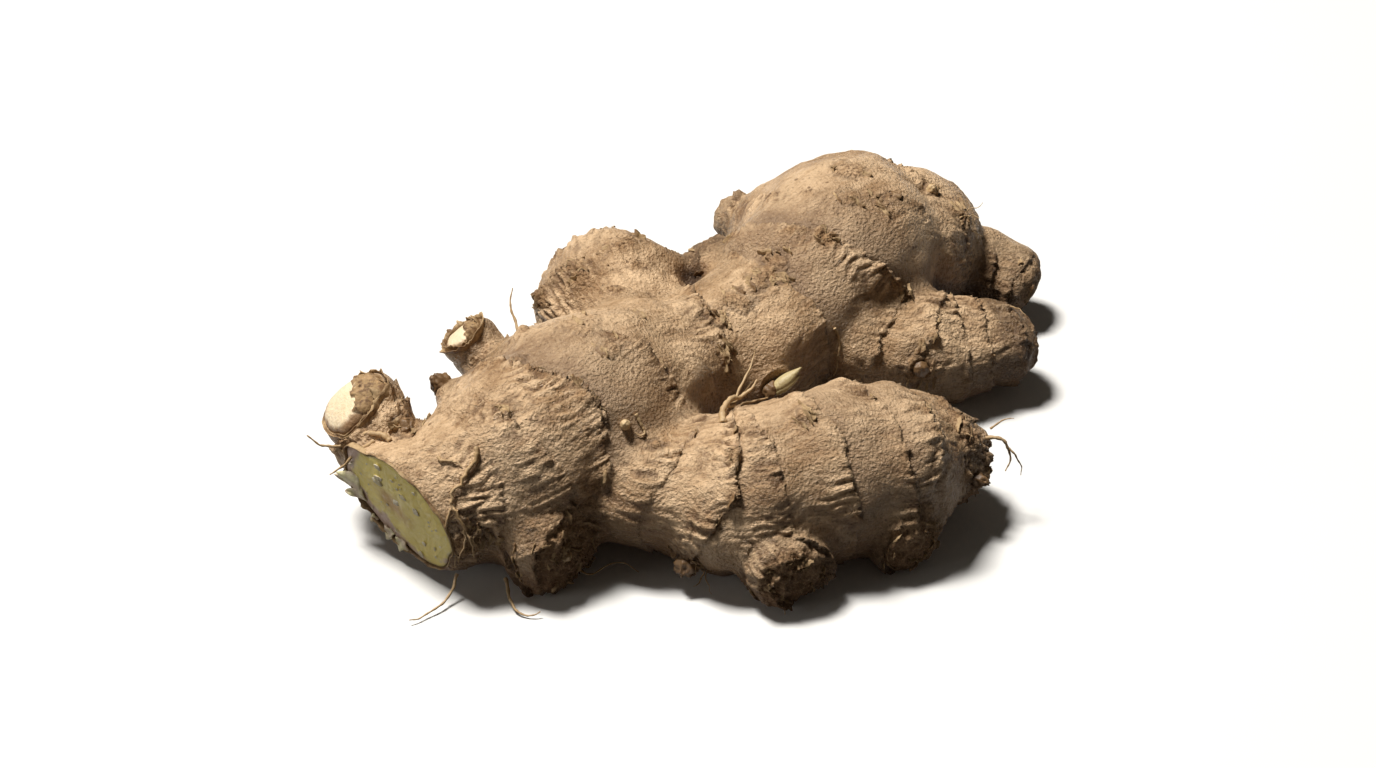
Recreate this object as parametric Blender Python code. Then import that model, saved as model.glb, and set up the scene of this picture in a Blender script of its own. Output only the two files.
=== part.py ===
"""A hand of fresh ginger: one rhizome that grew as one piece, cut from a larger one at its left end.

Metres, +Z up, resting on z = 0. +X runs along the hand's longest side and +Y to its back.
Every lobe is a chain of round stations from its root, buried in its parent, to its tip.
The lobes are lofted, melted together with a voxel remesh, smoothed, and trimmed flat
where the hand was cut, where two shoots were snapped off, and where it rests.
"""

import math

import bmesh
import bpy
from mathutils import Matrix, Vector, noise

MM = 0.001

# Stations in mm: x, y, z of the centre line, then the radius there.
# nodes are the leaf scars that ring a lobe, as shares of its length; each one pinches it.
# blunt is the length of the domed tip as a share of the last radius.
LOBES = {
    "trunk": {
        "stations": [
            (-72.5, -48.5, 17, 11.6),
            (-57.8, -37.8, 16.8, 11),
            (-43, -32.5, 16.3, 15.8),
            (-27, -22, 20, 20.5),
            (-13, -5, 19, 19.5),
            (1, 7, 16.5, 16),
            (15, 18.5, 17.5, 17),
            (33, 41, 21.7, 21.9),
            (46, 50, 19, 17),
            (60, 57, 16, 10.5),
        ],
        "nodes": (0.22, 0.33, 0.46, 0.57, 0.68, 0.86),
        "blunt": 0.8,
    },
    "front_arm": {
        "stations": [
            (-24, -24, 16, 14),
            (-10, -30, 15.5, 12),
            (2, -31.5, 14.2, 14.2),
            (12, -32, 14, 17),
            (24, -28, 16, 17),
            (38, -24, 15, 16.5),
            (49, -18.6, 12.6, 11.6),
            (56.5, -18, 8.4, 6.8),
        ],
        "nodes": (0.22, 0.40, 0.52, 0.68, 0.84),
        "blunt": 0.8,
    },
    "back_lobe": {
        "stations": [(-3, 6, 14, 12), (-11, 20, 16, 15.2), (-15.6, 31, 18.2, 16), (-17.2, 41, 19.3, 13.8)],
        "nodes": (0.45,),
        "blunt": 0.9,
    },
    "shoulder": {
        "stations": [(36, 42, 20, 17), (23, 46.5, 20, 16), (10, 53, 18, 11.2)],
        "nodes": (),
        "blunt": 0.9,
    },
    "belly": {
        "stations": [(3, 8, 15, 13), (12, 10, 16, 15.5), (20, 14, 17, 15.5)],
        "nodes": (),
        "blunt": 0.9,
    },
    "saddle": {
        "stations": [(-18, -12, 18, 15), (-9, -20, 15.5, 13.5), (-2, -29, 13.5, 12.5)],
        "nodes": (),
        "blunt": 0.8,
    },
    "finger_near": {
        "stations": [(26, 22, 15, 14.5), (40, 21.5, 13, 12.5), (55, 23, 11, 11.3), (72.2, 26.5, 9.8, 8)],
        "nodes": (0.30, 0.62, 0.8),
        "blunt": 1.3,
    },
    "finger_far": {
        "stations": [(44, 51, 14, 12), (56, 53, 13, 9.3), (65, 51.5, 11.4, 8.1), (74.2, 48.3, 8.9, 6.5)],
        "nodes": (0.5, 0.75),
        "blunt": 0.9,
    },
    "stub_left": {
        "stations": [(-32, -26, 15, 11), (-29.5, -37, 10.5, 10.2), (-22.5, -45.5, 9.2, 8.8)],
        "nodes": (0.6,),
        "blunt": 0.5,
    },
    "stub_middle": {
        "stations": [(13, -30, 12, 12), (16, -41, 9.3, 8.8), (20.5, -51, 8.5, 7.2)],
        "nodes": (0.6,),
        "blunt": 0.5,
    },
    "stub_right": {
        "stations": [(36, -24, 12, 11), (40, -33, 9, 8.5), (43.5, -40.5, 7.5, 7)],
        "nodes": (0.6,),
        "blunt": 0.5,
    },
    "shoot_left": {
        "stations": [(-52, -28, 14, 8.2), (-58.5, -23.8, 19, 8), (-63.2, -19.5, 24.3, 8), (-67, -16.5, 29.5, 8)],
        "nodes": (0.55,),
        "blunt": 0.6,
    },
    "shoot_top": {
        "stations": [(-34, -8, 20, 9.5), (-39.8, -1, 24, 6), (-45.2, 2.6, 30, 5.6)],
        "nodes": (0.6,),
        "blunt": 0.6,
    },
    "shoot_back": {
        "stations": [(12, 31, 17, 10), (6.5, 34.5, 22, 8), (1.5, 37, 26.8, 6)],
        "nodes": (),
        "blunt": 0.6,
    },
    "nub_left": {
        "stations": [(-43, -19.5, 22, 4.4), (-46.8, -14, 28.6, 3.2)],
        "nodes": (),
        "blunt": 0.6,
    },
    "nub_dome": {
        "stations": [(20, 50, 21, 8), (6, 58, 22.5, 4.8)],
        "nodes": (),
        "blunt": 0.6,
    },
}

# Flat trims, in mm: a point on the plane, the way that the removed side lies, and how wide it is.
TRIMS = {
    "cut_face": ((-55.5, -37.5, 13), (-0.68, -0.72, -0.15), 80),
    "shoot_left_face": ((-65.4, -17.8, 27), (-0.6, -0.1, 0.79), 24),
    "shoot_top_face": ((-44.6, 2.6, 29.6), (-0.55, 0, 0.83), 16),
    "resting_face": ((0, 0, 0.6), (0, 0, -1), 400),
}

# Linear colour of the dry tan skin, and how matt it is.
SKIN_COLOUR = (0.36, 0.235, 0.14, 1)
SKIN_ROUGHNESS = 0.6

SECTION_SIDES = 28
SECTION_STEP = 1.5
PINCH_DEPTH = 0.06
PINCH_REACH = 2.5
VOXEL = 1.2
LUMP_HEIGHT = 1.6
LUMP_SPACING = 11
MELT_PASSES = 5
KEPT_SHARE = 0.12


def between(stations, share):
    """The x, y, z and radius at a share of the chain, on a smooth curve through every station."""
    spans = len(stations) - 1
    at = min(share * spans, spans - 1e-6)
    index = int(at)
    t = at - index
    near = [stations[min(max(index + k, 0), spans)] for k in (-1, 0, 1, 2)]
    values = []
    for a, b, c, d in zip(*near):
        slope_b, slope_c = (c - a) / 2, (d - b) / 2
        values.append(
            (2 * t**3 - 3 * t**2 + 1) * b
            + (t**3 - 2 * t**2 + t) * slope_b
            + (3 * t**2 - 2 * t**3) * c
            + (t**3 - t**2) * slope_c
        )
    return Vector(values[:3]), values[3]


def sections_of(lobe):
    """(centre, radius) every SECTION_STEP along a lobe, closed by a dome at each end."""
    stations = lobe["stations"]
    length = sum((Vector(b[:3]) - Vector(a[:3])).length for a, b in zip(stations, stations[1:]))
    count = max(6, round(length / SECTION_STEP))
    root_dome = stations[0][3] * 0.8
    tip_dome = stations[-1][3] * lobe["blunt"]
    found = []
    for i in range(count + 1):
        share = i / count
        centre, radius = between(stations, share)
        along = share * length
        for node in lobe["nodes"]:
            radius *= 1 - PINCH_DEPTH * math.exp(-(((along - node * length) / PINCH_REACH) ** 2))
        for gone, dome in ((along, root_dome), (length - along, tip_dome)):
            if gone < dome:
                radius *= math.sqrt(max(1 - (1 - gone / dome) ** 2, 0.0))
        found.append((centre, max(radius, 0.05)))
    return found


def loft(bm, sections):
    """A closed tube through the sections, turned as little as possible from one to the next."""
    centres = [centre for centre, _ in sections]
    across = None
    rings = []
    for i, (centre, radius) in enumerate(sections):
        along = (centres[min(i + 1, len(centres) - 1)] - centres[max(i - 1, 0)]).normalized()
        across = across or along.orthogonal().normalized()
        across = (across - along * across.dot(along)).normalized()
        up = along.cross(across)
        ring = []
        for k in range(SECTION_SIDES):
            turn = 2 * math.pi * k / SECTION_SIDES
            out = across * math.cos(turn) + up * math.sin(turn)
            place = centre + out * radius
            place += out * LUMP_HEIGHT * noise.noise(place / LUMP_SPACING)
            ring.append(bm.verts.new(place * MM))
        rings.append(ring)
    for low, high in zip(rings, rings[1:]):
        for k in range(SECTION_SIDES):
            m = (k + 1) % SECTION_SIDES
            bm.faces.new((low[k], low[m], high[m], high[k]))
    bm.faces.new(reversed(rings[0]))
    bm.faces.new(rings[-1])


def rhizome():
    mesh = bpy.data.meshes.new("ginger_rhizome")
    bm = bmesh.new()
    for lobe in LOBES.values():
        loft(bm, sections_of(lobe))
    bm.to_mesh(mesh)
    bm.free()
    body = bpy.data.objects.new("ginger_rhizome", mesh)
    bpy.context.scene.collection.objects.link(body)
    melt = body.modifiers.new("melt", "REMESH")
    melt.mode = "VOXEL"
    melt.voxel_size = VOXEL * MM
    melt.use_smooth_shade = True
    soften = body.modifiers.new("soften", "SMOOTH")
    soften.factor = 0.5
    soften.iterations = MELT_PASSES
    thin = body.modifiers.new("thin", "DECIMATE")
    thin.ratio = KEPT_SHARE
    return body


def trim(body, name, point, away, width):
    """Cuts off what lies past a plane, with a block whose near face is that plane."""
    block = bpy.data.meshes.new(name)
    bm = bmesh.new()
    bmesh.ops.create_cube(bm, size=width * MM)
    bm.to_mesh(block)
    bm.free()
    cutter = bpy.data.objects.new(name, block)
    bpy.context.scene.collection.objects.link(cutter)
    way = Vector(away).normalized()
    cutter.location = (Vector(point) + way * width / 2) * MM
    cutter.rotation_mode = "QUATERNION"
    cutter.rotation_quaternion = way.to_track_quat("Z", "Y")
    cutter.display_type = "WIRE"
    cutter.hide_render = True
    cut = body.modifiers.new(name, "BOOLEAN")
    cut.operation = "DIFFERENCE"
    cut.solver = "EXACT"
    cut.object = cutter
    return cutter


def settle(body, cutters):
    """Applies the modifiers, then moves the origin to the middle of the resting side."""
    shaped = body.evaluated_get(bpy.context.evaluated_depsgraph_get())
    body.data = bpy.data.meshes.new_from_object(shaped)
    body.data.name = body.name
    body.modifiers.clear()
    for cutter in cutters:
        bpy.data.objects.remove(cutter)
    corners = [Vector(corner) for corner in body.bound_box]
    low = Vector(min(corner[i] for corner in corners) for i in range(3))
    high = Vector(max(corner[i] for corner in corners) for i in range(3))
    middle = (low + high) / 2
    body.data.transform(Matrix.Translation((-middle.x, -middle.y, -low.z)))


def skin_material():
    skin = bpy.data.materials.new("ginger_skin")
    skin.use_nodes = True
    shader = skin.node_tree.nodes["Principled BSDF"]
    shader.inputs["Base Color"].default_value = SKIN_COLOUR
    shader.inputs["Roughness"].default_value = SKIN_ROUGHNESS
    shader.inputs["Metallic"].default_value = 0.0
    return skin


def main():
    for old in list(bpy.data.objects):
        bpy.data.objects.remove(old)
    body = rhizome()
    cutters = [trim(body, name, *plane) for name, plane in TRIMS.items()]
    settle(body, cutters)
    body.data.materials.clear()
    body.data.materials.append(skin_material())


main()
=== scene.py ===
"""A hand of fresh ginger on a pale floor, built around its CAD model.

The skin is sculpted from a fine copy of the CAD node: every lobe has its own growth line, and
the leaf rings, lengthwise wrinkles, scars and smooth patches are laid out along those lines.
Flesh faces, papery scales, collars, rootlets and buds are pieces of their own.
"""

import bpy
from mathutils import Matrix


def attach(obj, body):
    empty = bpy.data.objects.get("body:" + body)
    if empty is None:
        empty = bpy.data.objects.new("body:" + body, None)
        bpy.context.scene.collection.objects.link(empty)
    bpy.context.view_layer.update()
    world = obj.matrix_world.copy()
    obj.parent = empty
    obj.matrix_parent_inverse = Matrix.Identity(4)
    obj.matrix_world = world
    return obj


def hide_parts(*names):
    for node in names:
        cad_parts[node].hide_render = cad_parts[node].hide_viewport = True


bl_info = {
    "name": "Ginger hand",
    "version": (1, 0, 0),
    "blender": (4, 5, 0),
    "location": "View3D > Sidebar > Ginger",
    "description": "Builds a hand of fresh ginger: skin, flesh, scales, rootlets, buds and stage",
    "category": "Object",
}

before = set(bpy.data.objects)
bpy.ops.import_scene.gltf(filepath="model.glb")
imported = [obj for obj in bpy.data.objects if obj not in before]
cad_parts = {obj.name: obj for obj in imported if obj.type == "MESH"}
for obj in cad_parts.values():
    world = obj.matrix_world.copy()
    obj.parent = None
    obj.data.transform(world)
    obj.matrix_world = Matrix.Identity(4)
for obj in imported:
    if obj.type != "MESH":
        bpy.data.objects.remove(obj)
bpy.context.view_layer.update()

import math

import bmesh
import bpy
import numpy as np
from bpy.props import FloatProperty, FloatVectorProperty, IntProperty, PointerProperty
from mathutils import Vector
from mathutils.bvhtree import BVHTree
from mathutils.kdtree import KDTree

MM = 0.001
NODE = "ginger_rhizome"

# The stations below are in the frame that the lobes were laid out in.
# This moves them to the part's own.
LAYOUT_MIDDLE = np.array((2.06, 6.67, 0.6))

# Stations in mm along each lobe's growth line: x, y, z, then the radius there.
# rings are leaf scars: place along the line, lean to its side, lean upward, lip height in mm,
# and how smooth and grey the skin just past it is.
# scar is how strongly the blunt tip is marked by a fallen shoot; dark is how brown its last stretch is,
# and tip is how long that stretch is in mm, or 7.
LOBES = {
    "trunk": {
        "stations": (
            (-72.5, -48.5, 17, 11.6), (-57.8, -37.8, 16.8, 11), (-43, -32.5, 16.3, 15.8),
            (-27, -22, 20, 20.5), (-13, -5, 19, 19.5), (1, 7, 16.5, 16), (15, 18.5, 17.5, 17),
            (33, 41, 21.7, 21.9), (46, 50, 19, 17), (60, 57, 16, 10.5),
        ),
        "rings": (
            (31.7, 0.20, 0.25, 0.35, 0.1), (42.5, 0.23, 0.0, 0.5, 0.0), (44, 0.34, 0.42, 0.9, 0.9),
            (64.9, 0.36, 0.0, 0.6, 0.3), (99.8, -0.48, -0.29, 0.8, 0.0), (114.3, -0.05, 0.07, 1.1, 0.8),
            (128.7, 0.29, -0.19, 1.3, 0.9), (157.3, 0.55, -1.0, 0.55, 0.2), (163, 0.4, -0.3, 0.6, 0.0),
        ),
        "scar": 0.5, "dark": 0.3,
    },
    "front_arm": {
        "stations": (
            (-24, -24, 16, 14), (-10, -30, 15.5, 12), (2, -31.5, 14.2, 14.2), (12, -32, 14, 17),
            (24, -28, 16, 17), (38, -24, 15, 16.5), (49, -18.6, 12.6, 11.6), (56.5, -18, 8.4, 6.8),
        ),
        "rings": (
            (23.3, -0.41, 0.08, 0.8, 0.0), (28.4, 0.14, 0.41, 1.0, 0.2), (40.6, 0.0, 0.08, 0.6, 0.2),
            (51, 0.22, 0.0, 0.65, 0.6), (62.3, 0.17, -0.06, 0.5, 0.5), (68.7, -0.09, 0.10, 0.7, 0.2),
            (76, 0.1, 0.1, 0.8, 0.0), (80, -0.1, 0.0, 0.8, 0.0), (84, 0.1, 0.0, 0.7, 0.0),
        ),
        "scar": 1.2, "dark": 0.6, "tip": 8.5,
    },
    "back_lobe": {
        "stations": (
            (-3, 6, 14, 12), (-11, 20, 16, 15.2), (-15.6, 31, 18.2, 16), (-17.2, 41, 19.3, 13.8),
        ),
        "rings": (
            (16.3, -0.6, -0.25, 1.2, 0.0), (19.5, -0.42, 0.13, 1.0, 0.0), (26.9, 0.0, 0.0, 0.9, 0.2),
            (35, 0.2, 0.1, 0.6, 0.3),
        ),
        "scar": 0.45, "dark": 0.15,
    },
    "finger_near": {
        "stations": (
            (26, 22, 15, 14.5), (40, 21.5, 13, 12.5), (55, 23, 11, 11.3), (72.2, 26.5, 9.8, 8),
        ),
        "rings": (
            (14.3, -0.33, 0.15, 1.1, 0.0), (23.9, -0.34, 0.11, 0.9, 0.0), (29.1, 0.09, -0.09, 0.7, 0.0),
            (34.6, 0.12, -0.1, 0.9, 0.0), (41, 0.1, 0.1, 0.5, 0.0),
        ),
        "scar": 1.1, "dark": 1.0, "tip": 11.5,
    },
    "finger_far": {
        "stations": (
            (44, 51, 14, 12), (56, 53, 13, 9.3), (65, 51.5, 11.4, 8.1), (74.2, 48.3, 8.9, 6.5),
        ),
        "rings": ((15.5, 0.0, -0.3, 0.7, 0.0), (21.2, 0.18, -0.11, 0.6, 0.1), (27, 0.0, 0.1, 0.6, 0.0)),
        "scar": 0.8, "dark": 0.5,
    },
    "stub_left": {
        "stations": ((-32, -26, 15, 11), (-29.5, -37, 10.5, 10.2), (-22.5, -45.5, 9.2, 8.8)),
        "rings": (
            (13, -0.1, 0.1, 0.4, 0.0), (17.7, -0.18, -0.15, 1.2, 0.0), (20.5, 0.1, 0.0, 0.6, 0.0),
        ),
        "scar": 1.3, "dark": 0.2,
    },
    "stub_middle": {
        "stations": ((13, -30, 12, 12), (16, -41, 9.3, 8.8), (20.5, -51, 8.5, 7.2)),
        "rings": ((14, 0.1, -0.1, 0.35, 0.0), (18.5, -0.33, 0.0, 1.0, 0.0), (22, 0.1, 0.1, 0.6, 0.0)),
        "scar": 1.2, "dark": 0.2,
    },
    "stub_right": {
        "stations": ((36, -24, 12, 11), (40, -33, 9, 8.5), (43.5, -40.5, 7.5, 7)),
        "rings": ((12, 0.0, 0.1, 0.9, 0.0), (15.6, 0.1, 0.0, 1.1, 0.0)),
        "scar": 1.3, "dark": 0.2,
    },
    "shoot_left": {
        "stations": (
            (-52, -28, 14, 8.2), (-58.5, -23.8, 19, 8), (-63.2, -19.5, 24.3, 8), (-67, -16.5, 29.5, 8),
        ),
        "rings": ((9, 0.1, 0.0, 0.5, 0.0), (13.2, 0.16, 0.2, 0.7, 0.0), (16.6, 0.25, 0.1, 1.1, 0.0)),
        "scar": 0.0, "dark": 0.8,
    },
    "shoot_top": {
        "stations": ((-34, -8, 20, 9.5), (-39.8, -1, 24, 6), (-45.2, 2.6, 30, 5.6)),
        "rings": ((12.4, 0.0, -0.27, 0.8, 0.0),),
        "scar": 0.0, "dark": 0.9,
    },
    "shoot_back": {
        "stations": ((12, 31, 17, 10), (6.5, 34.5, 22, 8), (1.5, 37, 26.8, 6)),
        "rings": ((11, 0.0, 0.0, 0.8, 0.0),),
        "scar": 1.0, "dark": 1.0,
    },
    "nub_left": {
        "stations": ((-43, -19.5, 22, 4.4), (-46.8, -14, 28.6, 3.2)),
        "rings": ((4.5, 0.0, 0.0, 0.5, 0.0),),
        "scar": 0.6, "dark": 1.0,
    },
    "nub_dome": {
        "stations": ((20, 50, 21, 8), (6, 58, 22.5, 4.8)),
        "rings": ((12, 0.0, 0.0, 0.5, 0.0),),
        "scar": 0.6, "dark": 0.6,
    },
}

# Crusty scars, in mm: x, y, z of the middle, radius, how far they stand up, and how dark they are.
SCARS = (
    (-22, -18, 38.5, 4.5, 0.35, 0.5), (-16, -9, 37.5, 3.5, 0.3, 0.45), (-17, -25, 38.5, 2.5, 0.3, 0.5),
    (3, -3, 31, 2.6, 0.7, 0.9), (8, 2, 31.5, 3.0, 0.7, 0.8), (15, 11, 33, 3.4, 0.6, 0.8),
    (5, -10, 27, 2.0, 0.6, 0.8), (12, 7, 33, 2.4, 0.5, 0.7),
    (31, 35, 42, 3.2, 0.3, 0.8), (31, 25, 41, 2.2, 0.35, 0.7), (38, 27, 38, 2.6, 0.5, 0.7),
    (49, 42, 33, 1.6, 0.9, 0.5), (53, 38, 28, 2.2, 0.5, 0.9), (55, 42, 27, 2.0, 0.5, 0.9),
    (45, 3, 14.5, 3.4, 0.5, 0.9), (-2.3, -50, 6, 3.2, 1.4, 1.0), (-55.5, -34, 26, 3.0, 1.2, 1.2),
    (-45, -54, 14, 4.0, 0.8, 1.2), (20, -38, 32, 1.4, 0.25, 0.8), (-8, -40, 27, 1.5, 0.7, 0.8),
    (-35, -28, 38.5, 1.5, 0.3, 0.8), (-36, -41, 36.5, 1.6, 0.4, 0.8),
    (-2, 18, 30, 2.4, 0.5, 0.7), (-12, 26, 34, 2.2, 0.4, 0.8), (20, 40, 34, 2.0, 0.5, 0.7),
    (0, 35, 12, 2.2, 0.8, 0.9), (36, 55, 12, 2.4, 0.7, 0.9), (-25, 0, 12, 2.4, 0.8, 0.9),
)

# Hollows round a bud or where a shoot broke away, in mm: x, y, z, radius, depth.
SOCKETS = ((15.5, -8.4, 18, 3.2, 0.4), (45, 2.9, 14.5, 2.2, 0.7), (53, -32, 13, 1.6, 0.5))

# The flat faces, in mm: a point, the way out, how deep the skin is cut back, and how far it reaches.
FACES = {
    "cut_face": ((-57.5, -44.9, 15.3), (-0.68, -0.72, -0.15), 0.6, 19.0),
    "shoot_left_face": ((-67.0, -26.3, 26.5), (-0.6, -0.1, 0.79), 0.5, 11.0),
    "shoot_top_face": ((-46.7, -6.7, 29.0), (-0.55, 0.0, 0.83), 0.4, 7.0),
}

# How many even turns the rim of a flat face is measured at.
OUTLINE_STEPS = 96

# The way across a broken shoot's face towards the side that kept its brown skin.
SHOOT_RIGHT = np.array((0.75, 0.1, 0.65))


# ---------------------------------------------------------------- arithmetic for the sculpting

GRADIENTS = np.array(
    [(1, 1, 0), (-1, 1, 0), (1, -1, 0), (-1, -1, 0), (1, 0, 1), (-1, 0, 1), (1, 0, -1), (-1, 0, -1),
     (0, 1, 1), (0, -1, 1), (0, 1, -1), (0, -1, -1), (1, 1, 0), (0, -1, 1), (-1, 1, 0), (0, -1, -1)],
    np.float32,
)
# Large numbers that scatter neighbouring grid cells and seeds over the gradients.
CELL_SCATTER = (73856093, 19349663, 83492791)
SEED_SCATTER = 2654435761
STIR = 1274126177
POSITIVE = 0x7FFFFFFF


def grain(places, seed):
    """Smooth gradient noise of about -1 to 1 at each place; one unit is one grain."""
    whole = np.floor(places)
    part = (places - whole).astype(np.float32)
    cell = whole.astype(np.int64)
    ease = part * part * part * (part * (part * 6 - 15) + 10)
    total = np.zeros(len(places), np.float32)
    for corner in np.ndindex(2, 2, 2):
        weight, key = 1.0, seed * SEED_SCATTER
        for axis, far in enumerate(corner):
            weight = weight * (ease[:, axis] if far else 1 - ease[:, axis])
            key = key ^ (cell[:, axis] + far) * CELL_SCATTER[axis]
        key = key & POSITIVE
        key = ((key ^ (key >> 13)) * STIR) & POSITIVE
        slope = GRADIENTS[(key ^ (key >> 15)) & 15]
        total += weight * sum(slope[:, axis] * (part[:, axis] - corner[axis]) for axis in range(3))
    return total


def grains(places, *layers, start=0):
    """Noises added up, each given as its height, its grain size in mm and its seed."""
    return sum((height * grain(places / size, seed) for height, size, seed in layers), start)


def ramped(values, low, high):
    """0 below low, 1 above high, and an even curve between."""
    t = np.clip((values - low) / (high - low), 0, 1)
    return t * t * (3 - 2 * t)


def bell(values, width):
    """1 at nought, falling evenly on both sides."""
    return np.exp(-((values / width) ** 2))


def fade(values, run):
    """1 up to nought, then falling off over about the run."""
    return np.exp(-np.maximum(values, 0) / run)


def unit(ways):
    """One way or many, made 1 long."""
    length = np.linalg.norm(ways) if ways.ndim == 1 else np.linalg.norm(ways, axis=1)[:, None]
    return ways / np.maximum(length, 1e-6)


def distance(places, point):
    return np.linalg.norm(places - point, axis=1)


def even_curve(rows, count):
    """As many rows as asked for, on a smooth curve through the given ones."""
    rows = np.array(rows, float)
    spans = len(rows) - 1
    share = np.linspace(0, spans - 1e-6, count)
    index = share.astype(int)
    t = (share - index)[:, None]
    a, b, c, d = (rows[np.clip(index + k, 0, spans)] for k in (-1, 0, 1, 2))
    return (
        (2 * t**3 - 3 * t**2 + 1) * b
        + (t**3 - 2 * t**2 + t) * (c - a) / 2
        + (3 * t**2 - 2 * t**3) * c
        + (t**3 - t**2) * (d - b) / 2
    )


LINE_SAMPLES = 200
PLACES_AT_ONCE = 40000


def growth_line(stations):
    """Points, radii, directions and distances along a lobe's growth line, in the part's frame."""
    place = even_curve(stations, LINE_SAMPLES)
    points = place[:, :3] - LAYOUT_MIDDLE
    along = unit(np.gradient(points, axis=0))
    side = unit(np.cross(along, (0, 0, 1.0)))
    steps = np.linalg.norm(np.diff(points, axis=0), axis=1)
    return {
        "points": points, "radius": place[:, 3], "along": along, "side": side,
        "up": np.cross(side, along), "distance": np.concatenate([[0], np.cumsum(steps)]),
    }


def on_line(line, places):
    """For each place its distance along a growth line, its offsets to the side and up, its height over
    the lobe, and the line's direction there."""
    nearest = np.empty(len(places), int)
    samples = line["points"].astype(np.float32)
    for start in range(0, len(places), PLACES_AT_ONCE):
        part = places[start : start + PLACES_AT_ONCE].astype(np.float32)
        gap = (samples**2).sum(1)[None] - 2 * part @ samples.T
        nearest[start : start + PLACES_AT_ONCE] = gap.argmin(1)
    offset = places - line["points"][nearest]
    along, side, up = ((offset * line[key][nearest]).sum(1) for key in ("along", "side", "up"))
    over = np.hypot(side, up) - line["radius"][nearest]
    return line["distance"][nearest] + along, side, up, over, line["along"][nearest]


# ---------------------------------------------------------------- mesh helpers


def deselect():
    if bpy.context.object and bpy.context.object.mode != "OBJECT":
        bpy.ops.object.mode_set(mode="OBJECT")
    bpy.ops.object.select_all(action="DESELECT")


def pick(piece):
    deselect()
    piece.select_set(True)
    bpy.context.view_layer.objects.active = piece


def worked(piece, kind, **values):
    """Adds a modifier, sets it and applies it."""
    pick(piece)
    step = piece.modifiers.new(kind.lower(), kind)
    for key, value in values.items():
        setattr(step, key, value)
    bpy.ops.object.modifier_apply(modifier=step.name)


def vertices(mesh):
    """The places of a mesh's points, in mm."""
    places = np.empty(len(mesh.vertices) * 3, np.float32)
    mesh.vertices.foreach_get("co", places)
    return places.reshape(-1, 3).astype(float) / MM


def outward(mesh):
    ways = np.empty(len(mesh.vertices) * 3, np.float32)
    mesh.vertex_normals.foreach_get("vector", ways)
    return ways.reshape(-1, 3).astype(float)


def place_vertices(mesh, places):
    mesh.vertices.foreach_set("co", (places * MM).astype(np.float32).ravel())
    mesh.update()


def write_layer(mesh, name, values):
    values = np.asarray(values, np.float32)
    kind, key = ("FLOAT", "value") if values.ndim == 1 else ("FLOAT_VECTOR", "vector")
    layer = mesh.attributes.get(name) or mesh.attributes.new(name, kind, "POINT")
    layer.data.foreach_set(key, values.ravel())


def read_layer(mesh, name, width=1):
    values = np.empty(len(mesh.vertices) * width, np.float32)
    mesh.attributes[name].data.foreach_get("value" if width == 1 else "vector", values)
    return values if width == 1 else values.reshape(-1, width)


def tree_of(mesh):
    bm = bmesh.new()
    bm.from_mesh(mesh)
    tree = BVHTree.FromBMesh(bm)
    bm.free()
    return tree


def finder(places):
    """A tree that finds the nearest of some places."""
    tree = KDTree(len(places))
    for i, place in enumerate(places):
        tree.insert(place, i)
    tree.balance()
    return tree


def on_skin(tree, at, height):
    """The place in mm that lies a height over the skin's point nearest to at."""
    found, normal, _, _ = tree.find_nearest(Vector(at * MM))
    return np.array(found) / MM + np.array(normal) * height


def declared(piece, material):
    """Smooths a finished piece, and tells the frame what it rides on and takes its finish from."""
    pick(piece)
    bpy.ops.object.shade_smooth()
    piece.data.materials.clear()
    piece.data.materials.append(material)
    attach(piece, "root")


def need_skin():
    skin = bpy.data.objects.get("rhizome_skin")
    if skin is None:
        raise RuntimeError("make the rhizome skin first")
    return skin


# The lowest that a point of a built-up piece may lie, in mm.
LOWEST = 0.25


def mesh_piece(name, places, faces):
    """A new object from points in mm and faces, with nothing under the floor."""
    mesh = bpy.data.meshes.new(name)
    places = np.array(places, float)
    places[:, 2] = np.maximum(places[:, 2], LOWEST)
    mesh.from_pydata([tuple(float(x) * MM for x in place) for place in places], [], faces)
    piece = bpy.data.objects.new(name, mesh)
    bpy.context.scene.collection.objects.link(piece)
    return piece


def grid_faces(first, rows, columns, closed=False):
    """The faces of a grid of points, numbered row by row; a closed grid joins its ends."""
    wide = columns if closed else columns + 1
    faces = []
    for row in range(rows):
        for k in range(columns):
            a, b = first + row * wide + k, first + row * wide + (k + 1) % wide
            faces.append((a, b, b + wide, a + wide))
    return faces


# ---------------------------------------------------------------- material helpers


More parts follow.
